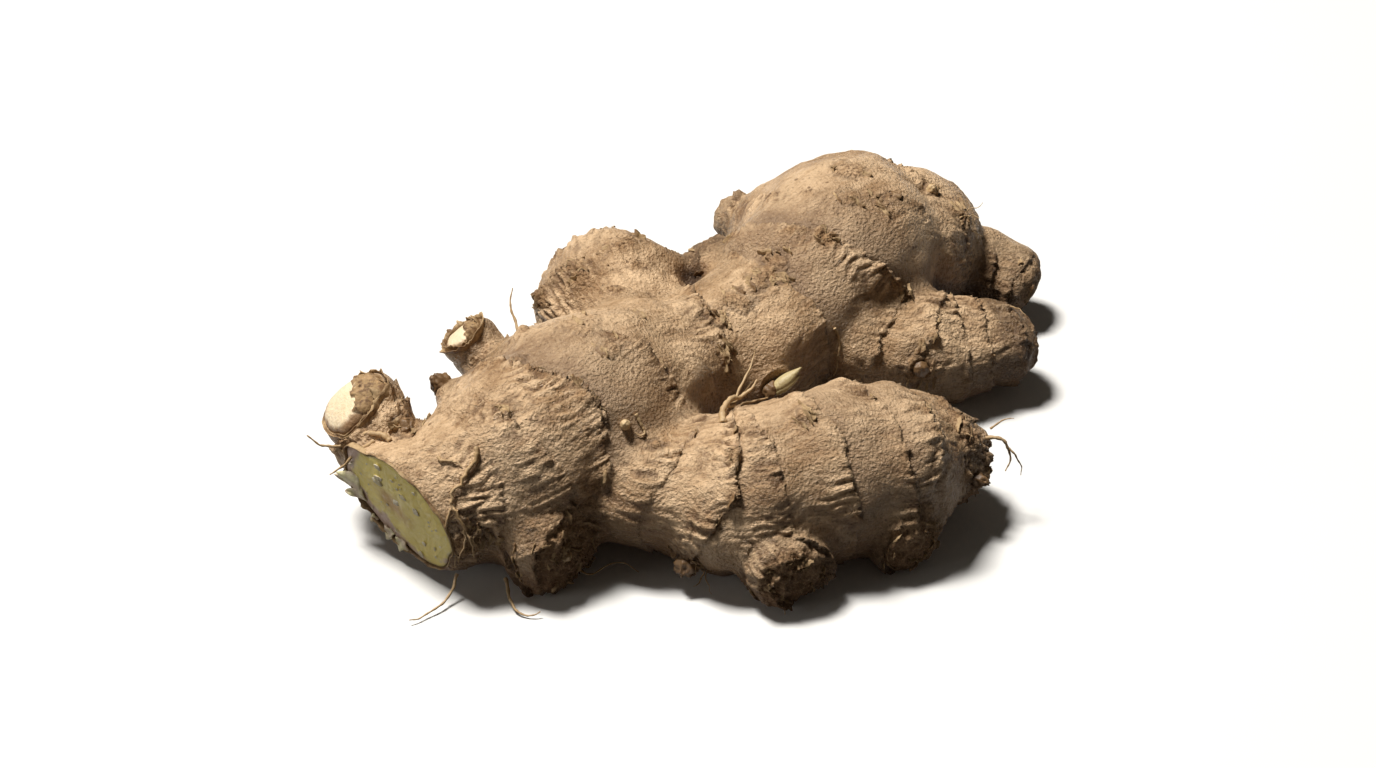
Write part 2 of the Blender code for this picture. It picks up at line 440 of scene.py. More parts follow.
class Finish:
    """A material being wired: each method adds one node and returns its output."""

    def __init__(self, name, roughness, specular=0.5):
        self.material = bpy.data.materials.new(name)
        self.material.use_nodes = True
        self.tree = self.material.node_tree
        self.shader = self.tree.nodes["Principled BSDF"]
        self.shader.inputs["Roughness"].default_value = roughness
        self.shader.inputs["Specular IOR Level"].default_value = specular
        self.place = self.node("ShaderNodeTexCoord").outputs["Object"]

    def node(self, kind, wires=None, **settings):
        made = self.tree.nodes.new(kind)
        for key, value in settings.items():
            setattr(made, key, value)
        for key, value in (wires or {}).items():
            self.wire(value, made.inputs[key])
        return made

    def wire(self, source, target):
        if isinstance(source, bpy.types.NodeSocket):
            self.tree.links.new(source, target)
        elif target.type == "VECTOR":
            target.default_value = source
        elif isinstance(source, (int, float)):
            target.default_value = (source, source, source, 1) if target.type == "RGBA" else source
        else:
            target.default_value = (*source[:3], 1)

    def soft(self, weight, depth, colour):
        """Lets light a little way into the surface, in metres."""
        for key, value in (("Weight", weight), ("Radius", colour), ("Scale", depth)):
            self.shader.inputs["Subsurface " + key].default_value = value

    def layer(self, name, vector=False):
        found = self.node("ShaderNodeAttribute", attribute_name=name)
        return found.outputs["Vector" if vector else "Fac"]

    def parts(self, vector):
        return self.node("ShaderNodeSeparateXYZ", {0: vector}).outputs

    def stretched(self, vector, scale):
        return self.node("ShaderNodeMapping", {"Vector": vector, "Scale": scale}).outputs["Vector"]

    def noise(self, scale, detail=3.0, rough=0.55, vector=None, twist=0.0):
        return self.node("ShaderNodeTexNoise", {
            "Scale": scale, "Detail": detail, "Roughness": rough, "Distortion": twist,
            "Vector": vector or self.place,
        }).outputs["Fac"]

    def cells(self, scale, feature="F1"):
        wires = {"Scale": scale, "Vector": self.place}
        return self.node("ShaderNodeTexVoronoi", wires, feature=feature).outputs["Distance"]

    def span(self, value, low, high, to_low=0.0, to_high=1.0):
        return self.node("ShaderNodeMapRange", {
            "Value": value, "From Min": low, "From Max": high, "To Min": to_low, "To Max": to_high,
        }, interpolation_type="SMOOTHSTEP").outputs["Result"]

    def sum(self, how, a, b):
        made = self.node("ShaderNodeMath", {0: a, 1: b}, operation=how, use_clamp=how == "MULTIPLY")
        return made.outputs[0]

    def scaled(self, value, amount):
        return self.node("ShaderNodeMath", {0: value, 1: amount}, operation="MULTIPLY").outputs[0]

    def blend(self, share, a, b):
        return self.node("ShaderNodeMix", {0: share, 6: a, 7: b}, data_type="RGBA").outputs[2]

    def coats(self, colour, *coats):
        """Colours laid over one another in order, each where the product of its masks is high."""
        for over, mask, *more in coats:
            for other in more:
                mask = self.sum("MULTIPLY", mask, other)
            colour = self.blend(mask, colour, over)
        return colour

    def raised(self, height, depth, under=None):
        wires = {"Height": height, "Distance": depth}
        if under:
            wires["Normal"] = under
        return self.node("ShaderNodeBump", wires).outputs["Normal"]

    def done(self, colour, bump=None, roughness=None):
        for value, key in ((colour, "Base Color"), (bump, "Normal"), (roughness, "Roughness")):
            if value is not None:
                self.wire(value, self.shader.inputs[key])
        return self.material


# ---------------------------------------------------------------- what a user may change


def colour_setting(name, description, default):
    return FloatVectorProperty(name=name, description=description, default=default, size=3,
                               min=0, max=1, subtype="COLOR")


def length_setting(name, description, default, low=0.0, high=0.05):
    return FloatProperty(name=name, description=description, default=default, min=low, max=high,
                         precision=5, subtype="DISTANCE", unit="LENGTH")


def count_setting(name, description, default):
    return IntProperty(name=name, description=description, default=default, min=0, max=1500)


def power_setting(name, description, default):
    return FloatProperty(name=name, description=description, default=default, min=0, unit="POWER")


class GingerSkinSettings(bpy.types.PropertyGroup):
    mesh_step: length_setting("Mesh step", "Spacing of the sculpted surface's points", 0.0007, 0.0003)
    wrinkle_height: length_setting("Wrinkle height", "Height of the lengthwise wrinkles", 0.0007)
    wrinkle_spacing: length_setting("Wrinkle spacing", "Distance between lengthwise wrinkles", 0.0019)
    ring_height: length_setting("Ring height", "Height of a full leaf ring's lip", 0.00115)
    # Light tan is also painted as a highlight on the fold ridges and ring lips.
    light: colour_setting("Light tan", "Dry skin stretched over the lobes", (0.68, 0.475, 0.285))
    tan: colour_setting("Tan", "The skin's main colour", (0.335, 0.198, 0.094))
    grey: colour_setting("Grey tan", "Smooth young skin just past a leaf ring", (0.25, 0.162, 0.096))
    # Brown is also painted as shade in the fold valleys, in the small pits and low down.
    brown: colour_setting("Brown", "Cracks and creases", (0.115, 0.056, 0.021))
    # Dark brown is also painted as shade where the skin is most closed in.
    dark: colour_setting("Dark brown", "Ring edges and old scars", (0.062, 0.029, 0.012))
    crust: colour_setting("Crust", "Corky scars", (0.30, 0.172, 0.078))
    # Tip brown is also painted as shade in the sockets.
    tip: colour_setting("Tip brown", "Old papery tips and fallen-shoot scars", (0.095, 0.053, 0.024))
    # The warm stain is the skin's own streaky tone, and is also painted as shade where the skin is
    # closed in.
    stain_and_shade: colour_setting("Stain", "Warm stain in the folds and creases", (0.24, 0.12, 0.045))


class GingerFleshSettings(bpy.types.PropertyGroup):
    green: colour_setting("Green flesh", "Outer part of the cut face", (0.86, 0.69, 0.17))
    middle: colour_setting("Flesh core", "Darker middle of the cut face", (0.50, 0.28, 0.075))
    rim: colour_setting("Cut rim", "Greyish band under the skin", (0.54, 0.38, 0.30))
    cream: colour_setting("Cream flesh", "Broken faces of the two shoots", (0.74, 0.60, 0.41))
    bark: colour_setting("Kept skin", "Brown skin left on a broken shoot", (0.29, 0.18, 0.08))
    crumb: colour_setting("Crumbs", "Loose starchy crumbs on the cut", (0.88, 0.80, 0.62))


class GingerScaleSettings(bpy.types.PropertyGroup):
    flakes: count_setting("Flakes", "How many papery scraps sit along the rings", 340)
    thickness: length_setting("Thickness", "Thickness of a papery scrap", 0.00012)
    straw: colour_setting("Straw", "Lit papery scale", (0.46, 0.32, 0.17))
    shade: colour_setting("Shade", "Old papery scale", (0.16, 0.085, 0.035))


class GingerRootletSettings(bpy.types.PropertyGroup):
    radius: length_setting("Radius", "Radius of a rootlet where it leaves the skin", 0.00042)
    hairs: count_setting("Hairs", "How many fine dry hairs grow from the rings", 26)
    colour: colour_setting("Rootlet", "Dry rootlets", (0.40, 0.26, 0.125))


class GingerBudSettings(bpy.types.PropertyGroup):
    length: length_setting("Bud length", "Length of the green bud", 0.0076)
    green: colour_setting("Bud green", "Fresh pointed bud", (0.47, 0.38, 0.19))
    cream: colour_setting("Bud cream", "Small round buds", (0.55, 0.40, 0.22))


class GingerStageSettings(bpy.types.PropertyGroup):
    floor: colour_setting("Floor", "Plain pale floor", (0.74, 0.735, 0.725))
    key: power_setting("Key light", "Power of the soft main light", 37.0)
    side: power_setting("Side light", "Power of the weak light from the left", 2.7)
    fill: FloatProperty(name="Room light", description="Strength of the even light", default=0.05, min=0)
    camera_distance: length_setting("Camera distance", "From the camera to the ginger", 0.65, 0.1, 5.0)
    camera_rise: FloatProperty(name="Camera rise", description="How steeply the camera looks down",
                               default=math.radians(35), subtype="ANGLE", unit="ROTATION")
    lens: FloatProperty(name="Lens", description="Focal length in millimetres", default=85, min=10)


SETTINGS = {
    "ginger_skin": GingerSkinSettings,
    "ginger_flesh": GingerFleshSettings,
    "ginger_scales": GingerScaleSettings,
    "ginger_rootlets": GingerRootletSettings,
    "ginger_buds": GingerBudSettings,
    "ginger_stage": GingerStageSettings,
}


# ---------------------------------------------------------------- the skin

# What the sculpting leaves at every point of the skin, and how many numbers each mark has.
LAYERS = {"ring": 1, "painted_valley_shade": 1, "painted_ridge_highlight": 1, "smooth": 1, "crust": 1, "dark": 1, "flesh": 1,
          "growth": 3, "followed": 3}

SKIN_TRIANGLES = 196000

# How far the parts of a leaf ring reach along a lobe, in mm: its lip, the drag of the skin before it,
# the drop past it, the folds gathered before it and the smooth skin past it. The swelling and the corky
# edge lie a little way before it.
LIP_RUN, DRAG_RUN, DROP_RUN, GATHER_RUN, SMOOTH_RUN = 1.4, 0.7, 0.9, 5.5, 11.0
SWELL_BACK, SWELL_RUN = 3.0, 3.2
CRUST_BACK, CRUST_RUN = 0.9, 1.3

# A lobe's tip, in mm from its end: how long the dark end is if the lobe doesn't say, where its scarred
# cap starts and is full, and where its last papery scale ends.
TIP_LENGTH = 7
CAP_START, CAP_FULL = 7, 2
LAST_SCALE = 5.0

# In mm over a lobe: how soon its skin gives way to the next one's, how far out it has a say, and the
# height given to places beyond that.
LOBE_BLEND, LOBE_REACH, FAR_OFF = 1.1, 9, 50.0

# In mm: how deep under a flat face the skin stays unsculpted, where it is free again, and how far
# round the face that holds.
FACE_CALM, FACE_FREE, FACE_MARGIN = 0.2, 1.2, 4


def ring_marks(ring, lip_height, s, side, up, wobble, ruffle, broken):
    """One leaf ring: relief and drag in mm, then its line, folds, smooth skin and corky edge."""
    place, lean_side, lean_up, height, calm = ring
    past = s - (place + lean_side * side + lean_up * up) + wobble
    before = past <= 0
    tall = lip_height * height * ruffle
    drop = ~before * fade(past, DROP_RUN)
    swell = before * bell(past + SWELL_BACK, SWELL_RUN)
    line = bell(past - 0.25, 0.2 + 0.24 * ruffle) * np.clip(0.2 + height * ruffle, 0, 1)
    return (
        tall * (before * fade(-past, LIP_RUN) - 0.7 * drop) + 0.35 * height * swell,
        tall * 0.8 * before * fade(-past, DRAG_RUN),
        line * (0.25 + 0.75 * broken),
        before * fade(-past, GATHER_RUN) + 0.3 * drop,
        calm * ~before * fade(past, SMOOTH_RUN),
        height * before * bell(past + CRUST_BACK, CRUST_RUN) * ramped(ruffle, 0.65, 1.1),
    )


def lobe_skin(lobe, look, s, side, up, places, tilt):
    """What one lobe's skin does at each place: relief in mm, drag towards the tip, and marks."""
    wobble = grains(places, (1.3, 8.0, 11), (0.6, 2.6, 12), (0.28, 1.1, 13))
    ruffle = np.clip(grains(places, (1.25, 5.0, 14), (0.3, 1.7, 18), start=0.55), 0.08, 1.5)
    broken = ramped(grains(places, (1.0, 2.9, 17), (0.5, 1.0, 19)), -0.35, 0.3)
    relief, drag, line, gather, smooth, crust = (np.zeros(len(s)) for _ in range(6))
    lip_height = look.ring_height / MM
    for ring in lobe["rings"]:
        rise, pull, *marks = ring_marks(ring, lip_height, s, side, up, wobble, ruffle, broken)
        relief += rise
        drag += pull
        for kept, mark in zip((line, gather, smooth, crust), marks):
            np.maximum(kept, mark, out=kept)
    length = lobe["line"]["distance"][-1]
    tip = length - lobe.get("tip", TIP_LENGTH)
    scar = lobe["scar"]
    cap = ramped(tilt, 0.45, 0.85) * ramped(s, length - CAP_START, length - CAP_FULL)
    uneven = np.hypot(side, up) * 2.6 + 1.5 * np.sin(np.arctan2(up, side) * 2 + 1)
    circles = np.sin(uneven + 1.6 * grain(places / 2.4, 15))
    flaky = np.clip(1 - 2.4 * np.abs(grain(places / 2.6, 29)), 0, 1)
    relief += scar * cap * (0.15 * circles + 0.45 * grain(places / 1.7, 16) + 0.4 * flaky)
    ragged = grains(places, (3.0, 4.0, 20), (1.0, 1.3, 28))
    scale_edge = s + ragged - (length - LAST_SCALE)
    relief += 0.45 * scar * ramped(scale_edge, -0.1, 0.5) * fade(scale_edge, 2.5)
    line = np.maximum(line, 0.8 * min(scar, 1.0) * bell(scale_edge + 0.1, 0.32))
    dark = lobe["dark"] * np.maximum(0.8 * cap, ramped(s + 0.6 * ragged, tip, tip + 1.8))
    return {
        "relief": relief, "drag": drag, "ring": line, "gather": np.maximum(gather, 0.15 * cap),
        "smooth": smooth, "crust": np.maximum(crust, 0.6 * cap * scar), "dark": dark,
    }


def wrinkles(s, side, up, places, spacing):
    """Folds that run along the growth line, sharp in their valleys, from 0 to about 1."""
    drift = np.stack([grain(places / 7.0, 21), grain(places / 7.0, 22), grain(places / 9.0, 23)], 1)
    around = np.stack([side, up], 1) / spacing
    coarse = np.c_[around, s / (spacing * 5.5)] + drift * (1.2, 1.2, 0.8)
    fine = np.c_[around * 1.9, s / (spacing * 3.4)] + drift * (1.6, 1.6, 0.9)
    sharp = 1 - np.abs(grain(coarse + 40, 26))
    first = np.abs(grain(coarse, 24)) ** 0.8
    second = np.abs(grain(fine, 25)) ** 0.8
    choice = ramped(grain(places / 6.0, 27), -0.2, 0.25)
    creased = 1.1 * np.clip(sharp - 0.35, 0, 1) ** 2.2
    return (1 - choice) * 1.25 * first + choice * creased + 0.5 * second


def follow_lobes(places):
    """Each lobe's say at each place, and where the places near a lobe lie along it."""
    over = np.full((len(places), len(LOBES)), FAR_OFF, np.float32)
    found = []
    for i, lobe in enumerate(LOBES.values()):
        line = lobe["line"] = growth_line(lobe["stations"])
        reach = line["radius"].max() + LOBE_REACH
        low, high = line["points"].min(0) - reach, line["points"].max(0) + reach
        rows = np.flatnonzero(np.all((places > low) & (places < high), axis=1))
        s, side, up, over[rows, i], along = on_line(line, places[rows])
        found.append((rows, s, side, up, along))
    share = np.exp(-(over - over.min(1)[:, None]) / LOBE_BLEND)
    share[over > 12] *= 0.02
    share /= share.sum(1)[:, None]
    return share, found


def add_scars(relief, crust, ring, places):
    for x, y, z, radius, rise, darkness in SCARS:
        gap = distance(places, (x, y, z))
        gap = grains(places, (0.8 * radius, 0.9 * radius, 51), (0.35 * radius, 0.9, 55), start=gap)
        patch = 1 - ramped(gap, 0.55 * radius, 1.1 * radius)
        edge = 0.35 * rise * bell(gap - 1.1 * radius, 0.5)
        relief += patch * rise * (0.55 + 0.9 * grain(places / 1.3, 52)) - edge
        np.maximum(crust, patch * min(darkness, 1.0) * 0.9, out=crust)
        np.maximum(ring, darkness * 0.95 * bell(gap - 1.05 * radius, 0.5), out=ring)


def add_sockets(relief, places):
    """Sinks the sockets, and returns the painted shade in each of them."""
    painted_hollow_shade = np.zeros(len(places))
    for x, y, z, radius, deep in SOCKETS:
        gap = distance(places, (x, y, z))
        lip = 0.5 * bell(gap - 1.15 * radius, 0.6)
        relief += -deep * (1 - ramped(gap, 0.3 * radius, radius)) + lip
        np.maximum(painted_hollow_shade, 0.6 * (1 - ramped(gap, 0.5 * radius, 1.1 * radius)), out=painted_hollow_shade)
    return painted_hollow_shade


def kept_near_faces(places):
    """1 where the skin is free to be sculpted, falling to 0 at the flat faces."""
    keep = np.ones(len(places))
    for point, way, _, reach in FACES.values():
        under = (np.array(point) - places) @ unit(np.array(way))
        near = distance(places, point) < reach + FACE_MARGIN
        calm = np.clip((under - FACE_CALM) / (FACE_FREE - FACE_CALM), 0, 1)
        keep = np.where(near & (under < FACE_FREE), calm, keep)
    return keep


def cut_back(places):
    """Pushes what stands past a flat face back to it, and returns which places are on one."""
    flesh = np.zeros(len(places))
    for point, way, back, reach in FACES.values():
        way = unit(np.array(way))
        past = (places - np.array(point)) @ way + back
        cut = (past > 0) & (distance(places, point) < reach)
        places[cut] -= past[cut, None] * way
        flesh[cut] = 1
    return flesh


def sculpt(mesh, look):
    """Moves a fine copy of the body into its rings, wrinkles and scars, and leaves its marks."""
    places, ways = vertices(mesh), outward(mesh)
    share, found = follow_lobes(places)
    keys = ("relief", "drag", "ring", "gather", "smooth", "crust", "dark")
    total = {key: np.zeros(len(places)) for key in keys}
    folds = np.zeros(len(places))
    growth, followed = np.zeros_like(places), np.zeros_like(places)
    for i, (lobe, (rows, *measures)) in enumerate(zip(LOBES.values(), found)):
        chosen = share[rows, i] > 0.03
        rows = rows[chosen]
        s, side, up, along = (values[chosen] for values in measures)
        weight = share[rows, i]
        tilt = (ways[rows] * along).sum(1)
        for key, values in lobe_skin(lobe, look, s, side, up, places[rows], tilt).items():
            total[key][rows] += weight * values
        folds[rows] += weight * wrinkles(s, side, up, places[rows], look.wrinkle_spacing / MM)
        growth[rows] += weight[:, None] * along
        followed[rows] += weight[:, None] * np.stack([side, up, s], 1)
    growth = unit(growth)

    smooth = np.clip(total["smooth"], 0, 1)
    rough = ramped(grain(places / 13.0, 31), -0.35, 0.45)
    depth = (0.02 + total["gather"] * (0.4 + 0.8 * rough) + 0.12 * rough) * (1 - 0.85 * smooth)
    fold_relief = look.wrinkle_height / MM * 2.1 * np.clip(depth, 0.02, 1.2) * (folds - 0.45)
    lumps = grains(places, (0.8, 9.5, 41), (0.28, 4.6, 42), (0.07, 2.1, 43))
    lumps *= 1 - 0.5 * smooth
    relief = total["relief"] + fold_relief + lumps
    add_scars(relief, total["crust"], total["ring"], places)
    painted_hollow_shade = add_sockets(relief, places)
    crust = np.clip(total["crust"], 0, 1)
    relief += crust * (0.26 * grain(places / 1.2, 53) + 0.2 * np.abs(grain(places / 0.7, 54)))
    keep = kept_near_faces(places)
    moved = places + ways * (relief * keep)[:, None] + growth * (total["drag"] * keep)[:, None]
    flesh = cut_back(moved)
    moved[:, 2] = np.maximum(moved[:, 2], 0.0)
    place_vertices(mesh, moved)
    marks = {
        "ring": np.clip(total["ring"], 0, 1) * keep,
        # Painted shade: darker colour in the fold valleys, drawn from their relief.
        "painted_valley_shade": np.clip(-fold_relief * 3.4 - 0.02, 0, 1) * keep,
        # Painted highlight: lighter colour on the fold ridges and ring lips, drawn from their relief.
        "painted_ridge_highlight": np.clip((fold_relief + 0.35 * total["drag"]) * 3.0 - 0.05, 0, 1) * keep,
        "smooth": smooth,
        "crust": crust,
        # The dark layer holds the lobes' brown tips and the painted shade in the sockets.
        "dark": np.clip(total["dark"] + painted_hollow_shade, 0, 1),
        "flesh": flesh,
        "growth": growth,
        "followed": followed * MM,
    }
    for name in LAYERS:
        write_layer(mesh, name, marks[name])


# Rays sent out from each point, turned from one to the next by the golden angle, and how far they reach
# from just over the skin. A ray that meets the floor counts as partly closed in. How closed in the skin
# is gets painted into its colour as shade.
SHELTER_RAYS = 40
GOLDEN_TURN = 2.399963
SHELTER_REACH = 22 * MM
SHELTER_LIFT = 0.4 * MM
FLOOR_SHARE = 0.7


def shelter(mesh, tree):
    """How closed in each point of a mesh is by the body and the floor round it, from 0 to 1."""
    spread = []
    for i in range(SHELTER_RAYS):
        lift = 1 - (i + 0.5) / SHELTER_RAYS
        flat, turn = math.sqrt(1 - lift * lift), i * GOLDEN_TURN
        spread.append(Vector((flat * math.cos(turn), flat * math.sin(turn), lift)))
    closed = []
    for point in mesh.vertices:
        to_way = point.normal.to_track_quat("Z", "Y")
        start = point.co + point.normal * SHELTER_LIFT
        met = 0.0
        for way in spread:
            ray = to_way @ way
            hit = tree.ray_cast(start, ray, SHELTER_REACH)
            if hit[0] is not None:
                met += 1 - 0.4 * hit[3] / SHELTER_REACH
            elif ray.z < -0.01 and start.z / -ray.z < SHELTER_REACH:
                met += FLOOR_SHARE
        closed.append(met / SHELTER_RAYS)
    return closed


def blended(body, values, places, neighbours=5):
    """Values at some places in mm, blended from those at a mesh's nearest points."""
    near_body = finder([point.co / MM for point in body.vertices])
    blend = np.empty(len(places))
    for row, place in enumerate(places):
        weight = value = 0.0
        for _, i, gap in near_body.find_n(place, neighbours):
            share = 1 / (gap + 0.4) ** 2
            weight += share
            value += share * values[i]
        blend[row] = value / weight
    return blend


class GINGER_OT_skin(bpy.types.Operator):
    """Sculpts the whole skin from a fine copy of the CAD node"""

    bl_idname = "ginger.skin"
    bl_label = "Rhizome skin"

    def execute(self, context):
        look = context.scene.ginger_skin
        skin = bpy.data.objects.new("rhizome_skin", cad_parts[NODE].data.copy())
        context.scene.collection.objects.link(skin)
        pick(skin)
        bpy.ops.object.mode_set(mode="EDIT")
        bpy.ops.mesh.select_all(action="SELECT")
        bpy.ops.mesh.remove_doubles(threshold=1e-6)
        bpy.ops.object.mode_set(mode="OBJECT")
        body = skin.data.copy()
        sheltered = shelter(body, tree_of(body))
        step = look.mesh_step * 1
        worked(skin, "REMESH", mode="VOXEL", voxel_size=step)
        worked(skin, "SMOOTH", factor=0.5, iterations=12)
        worked(skin, "SUBSURF", levels=1, render_levels=1)
        sculpt(skin.data, look)
        fine = {name: read_layer(skin.data, name, width) for name, width in LAYERS.items()}
        nearest = finder(vertices(skin.data))
        triangles = sum(len(face.vertices) - 2 for face in skin.data.polygons)
        worked(skin, "DECIMATE", ratio=min(1.0, SKIN_TRIANGLES / triangles))
        places = vertices(skin.data)
        rows = np.array([nearest.find(place)[1] for place in places])
        for name, values in fine.items():
            write_layer(skin.data, name, values[rows])
        # Painted shade: how closed in each point is, used to darken the skin's colour where it is
        # sheltered.
        write_layer(skin.data, "painted_crevice_shade", blended(body, sheltered, places))
        bpy.data.meshes.remove(body)
        declared(skin, skin_finish(look))
        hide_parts(NODE)
        return {"FINISHED"}


def skin_finish(look):
    """Tan skin: a painted highlight on the ridges, painted brown shade in the creases, closed-in places,
    pits, sockets and low down, grey where young, corky at the scars.
    """
    f = Finish("ginger_skin_finish", roughness=0.52, specular=0.42)
    ring, painted_valley_shade, painted_ridge_highlight, smooth, crust, dark, painted_crevice_shade = (
        f.layer(name) for name in ("ring", "painted_valley_shade", "painted_ridge_highlight", "smooth", "crust", "dark", "painted_crevice_shade")
    )
    lines = f.layer("followed", vector=True)
    streaks = f.noise(1.0, 4, 0.6, f.stretched(lines, (620, 620, 90)), 0.6)
    clouds, mottle, speck = f.noise(70, 4, 0.6), f.noise(420, 4, 0.62), f.noise(1500, 3, 0.6)
    # Painted shade: the skin grows darker towards the bottom.
    painted_low_shade = f.span(f.parts(f.place)[2], 0.018, 0.003)
    # Painted shade: small dark dots that stand for shaded pits in the skin.
    painted_pit_shade = f.span(f.cells(330), 0.17, 0.10)
    colour = f.coats(
        f.blend(f.span(clouds, 0.34, 0.62), look.tan, look.light),
        (look.light, f.span(streaks, 0.5, 0.70, 0.0, 0.6)),
        (look.tan, f.span(mottle, 0.5, 0.74, 0.0, 0.65)),
        (look.grey, smooth, f.span(clouds, 0.3, 0.62, 1.25, 0.8)),
        # Painted shade: warm brown where the skin is closed in.
        (look.stain_and_shade, f.span(painted_crevice_shade, 0.22, 0.50, 0.0, 0.75)),
        (look.stain_and_shade, f.span(streaks, 0.48, 0.30, 0.0, 0.5), f.sum("SUBTRACT", 1.0, smooth)),
        # Painted highlight on the fold ridges and ring lips.
        (look.light, painted_ridge_highlight, 0.75),
        # Painted shade in the fold valleys.
        (look.brown, painted_valley_shade, f.span(mottle, 0.3, 0.65, 0.5, 1.0)),
        (look.crust, crust, f.span(mottle, 0.35, 0.6, 0.4, 0.95)),
        (look.brown, crust, f.span(speck, 0.46, 0.66, 0.0, 0.9)),
        # The tip brown is also painted as shade in the sockets.
        (look.tip, dark, f.span(mottle, 0.34, 0.62, 0.9, 0.5)),
        (look.dark, ring, f.span(speck, 0.3, 0.6, 0.95, 0.6)),
        # Painted shade: dark brown where the skin is most closed in.
        (look.dark, f.span(painted_crevice_shade, 0.35, 0.64, 0.0, 0.96)),
        # Painted shade: brown towards the bottom.
        (look.brown, painted_low_shade, f.span(clouds, 0.3, 0.65, 0.85, 0.5)),
        (look.brown, f.span(speck, 0.54, 0.72, 0.0, 0.5)),
        (look.light, f.span(speck, 0.44, 0.28, 0.0, 0.45)),
        # Painted shade in the small pits.
        (look.brown, painted_pit_shade, f.span(clouds, 0.42, 0.6, 0.0, 0.75)),
    )
    roughness = f.blend(crust, f.span(mottle, 0.3, 0.7, 0.36, 0.55), 0.85)
    threads = f.noise(1.0, 3, 0.6, f.stretched(lines, (1300, 1300, 420)), 0.8)
    pebbles = f.sum("ADD", f.noise(1900, 3, 0.6), f.scaled(f.cells(1500, "SMOOTH_F1"), 0.5))
    return f.done(colour, f.raised(pebbles, 0.0006, f.raised(threads, 0.00027)), roughness)


# ---------------------------------------------------------------- flesh, crumbs and collars

OUTLINE_TURNS = np.arange(OUTLINE_STEPS)

# Browns of dried flesh and kept skin that a user has no need to change.
DRY_BROWN = (0.12, 0.06, 0.025)
RIM_BROWN = (0.12, 0.065, 0.035)
EDGE_BROWN = (0.26, 0.15, 0.07)
CREAM_SHADE = (0.62, 0.47, 0.28)
KEPT_LIGHT = (0.42, 0.27, 0.14)
GREEN_LIGHT = (0.92, 0.80, 0.30)
FIBRE_LIGHT = (0.92, 0.82, 0.45)
FLAP_COLOURS = (0.58, 0.46, 0.33), (0.66, 0.60, 0.34)
CRUMB_SHADE = (0.55, 0.47, 0.27)


class Rim:
    """The rim of a flat face: its middle in mm, its plane, and how far out the rim is at even turns."""

    def __init__(self, mesh, name):
        point, way, back, reach = FACES[name]
        self.way = unit(np.array(way, float))
        self.across = unit(np.cross(self.way, (0, 0, 1.0)))
        self.over = np.cross(self.way, self.across)
        places = vertices(mesh)
        on_face = (read_layer(mesh, "flesh") > 0.5) & (distance(places, point) < reach)
        offset = places[on_face] - point
        spread = np.stack([offset @ self.across, offset @ self.over], 1)
        centre = (spread.min(0) + spread.max(0)) / 2
        spread -= centre
        turn = self.steps(np.arctan2(spread[:, 1], spread[:, 0])).astype(int) % OUTLINE_STEPS
        far = np.zeros(OUTLINE_STEPS)
        np.maximum.at(far, turn, np.hypot(spread[:, 0], spread[:, 1]))
        known = np.flatnonzero(far > 0.5)
        far = np.interp(OUTLINE_TURNS, known, far[known], period=OUTLINE_STEPS)
        usual = np.median([np.roll(far, step) for step in range(-9, 10)], axis=0)
        far = np.clip(far, 0.85 * usual, 1.06 * usual)
        for _ in range(3):
            far = (np.roll(far, 1) + 2 * far + np.roll(far, -1)) / 4
        self.far = far
        self.middle = point - self.way * back + self.across * centre[0] + self.over * centre[1]

    @staticmethod
    def steps(turn):
        return turn / (2 * math.pi) * OUTLINE_STEPS

    def edge(self, turn):
        """How far from the middle the rim is at a turn."""
        return np.interp(self.steps(turn), OUTLINE_TURNS, self.far, period=OUTLINE_STEPS)

    def out(self, turn):
        """The way from the middle to the rim at a turn, in the face's plane."""
        return np.multiply.outer(np.cos(turn), self.across) + np.multiply.outer(np.sin(turn), self.over)


def flesh_disc(skin, name, face, inset, rise, rough, bark_from=9.0):
    """A closed lens of flesh that fills a flat face, with a share layer: 0 in its middle, 1 at the rim.

    Right of bark_from, in mm from its middle, the lens keeps a ragged layer of brown skin.
    """
    rim = Rim(skin.data, face)
    deselect()
    bpy.ops.mesh.primitive_uv_sphere_add(segments=OUTLINE_STEPS, ring_count=40, radius=MM)
    disc = bpy.context.object
    disc.name = disc.data.name = name
    worked(disc, "SUBSURF", levels=1, render_levels=1)
    ball = unit(vertices(disc.data))
    turn = np.arctan2(ball[:, 1], ball[:, 0])
    share = 1 - np.abs(np.arcsin(np.clip(ball[:, 2], -1, 1))) / (math.pi / 2)
    top = ball[:, 2] >= 0
    places = rim.middle + rim.out(turn) * ((rim.edge(turn) - inset) * share)[:, None]
    dome = np.sqrt(np.clip(1 - share**2.5, 0, 1))
    texture = grains(places, (0.30, 4.0, 61), (0.10, 1.5, 62), (0.04, 0.5, 63))
    bulge = rise * dome + rough * texture * np.clip((1 - share) * 6, 0, 1)
    height = np.where(top, bulge, -0.9 * (1 - share**3))
    rightward = (places - rim.middle) @ SHOOT_RIGHT
    rightward = grains(places, (1.6, 2.2, 65), (0.8, 0.8, 66), start=rightward)
    bark = ramped(rightward, bark_from, bark_from + 0.35) * top
    bark_rise = grains(places, (0.5, 1.5, 67), (0.3, 0.6, 68), start=0.5)
    height += bark * bark_rise * np.clip((1 - share) * 8, 0, 1)
    place_vertices(disc.data, places + rim.way * height[:, None])
    write_layer(disc.data, "share", share)
    write_layer(disc.data, "bark", bark)
    write_layer(disc.data, "round", np.stack([np.cos(turn), np.sin(turn), share * 0], 1))
    return disc


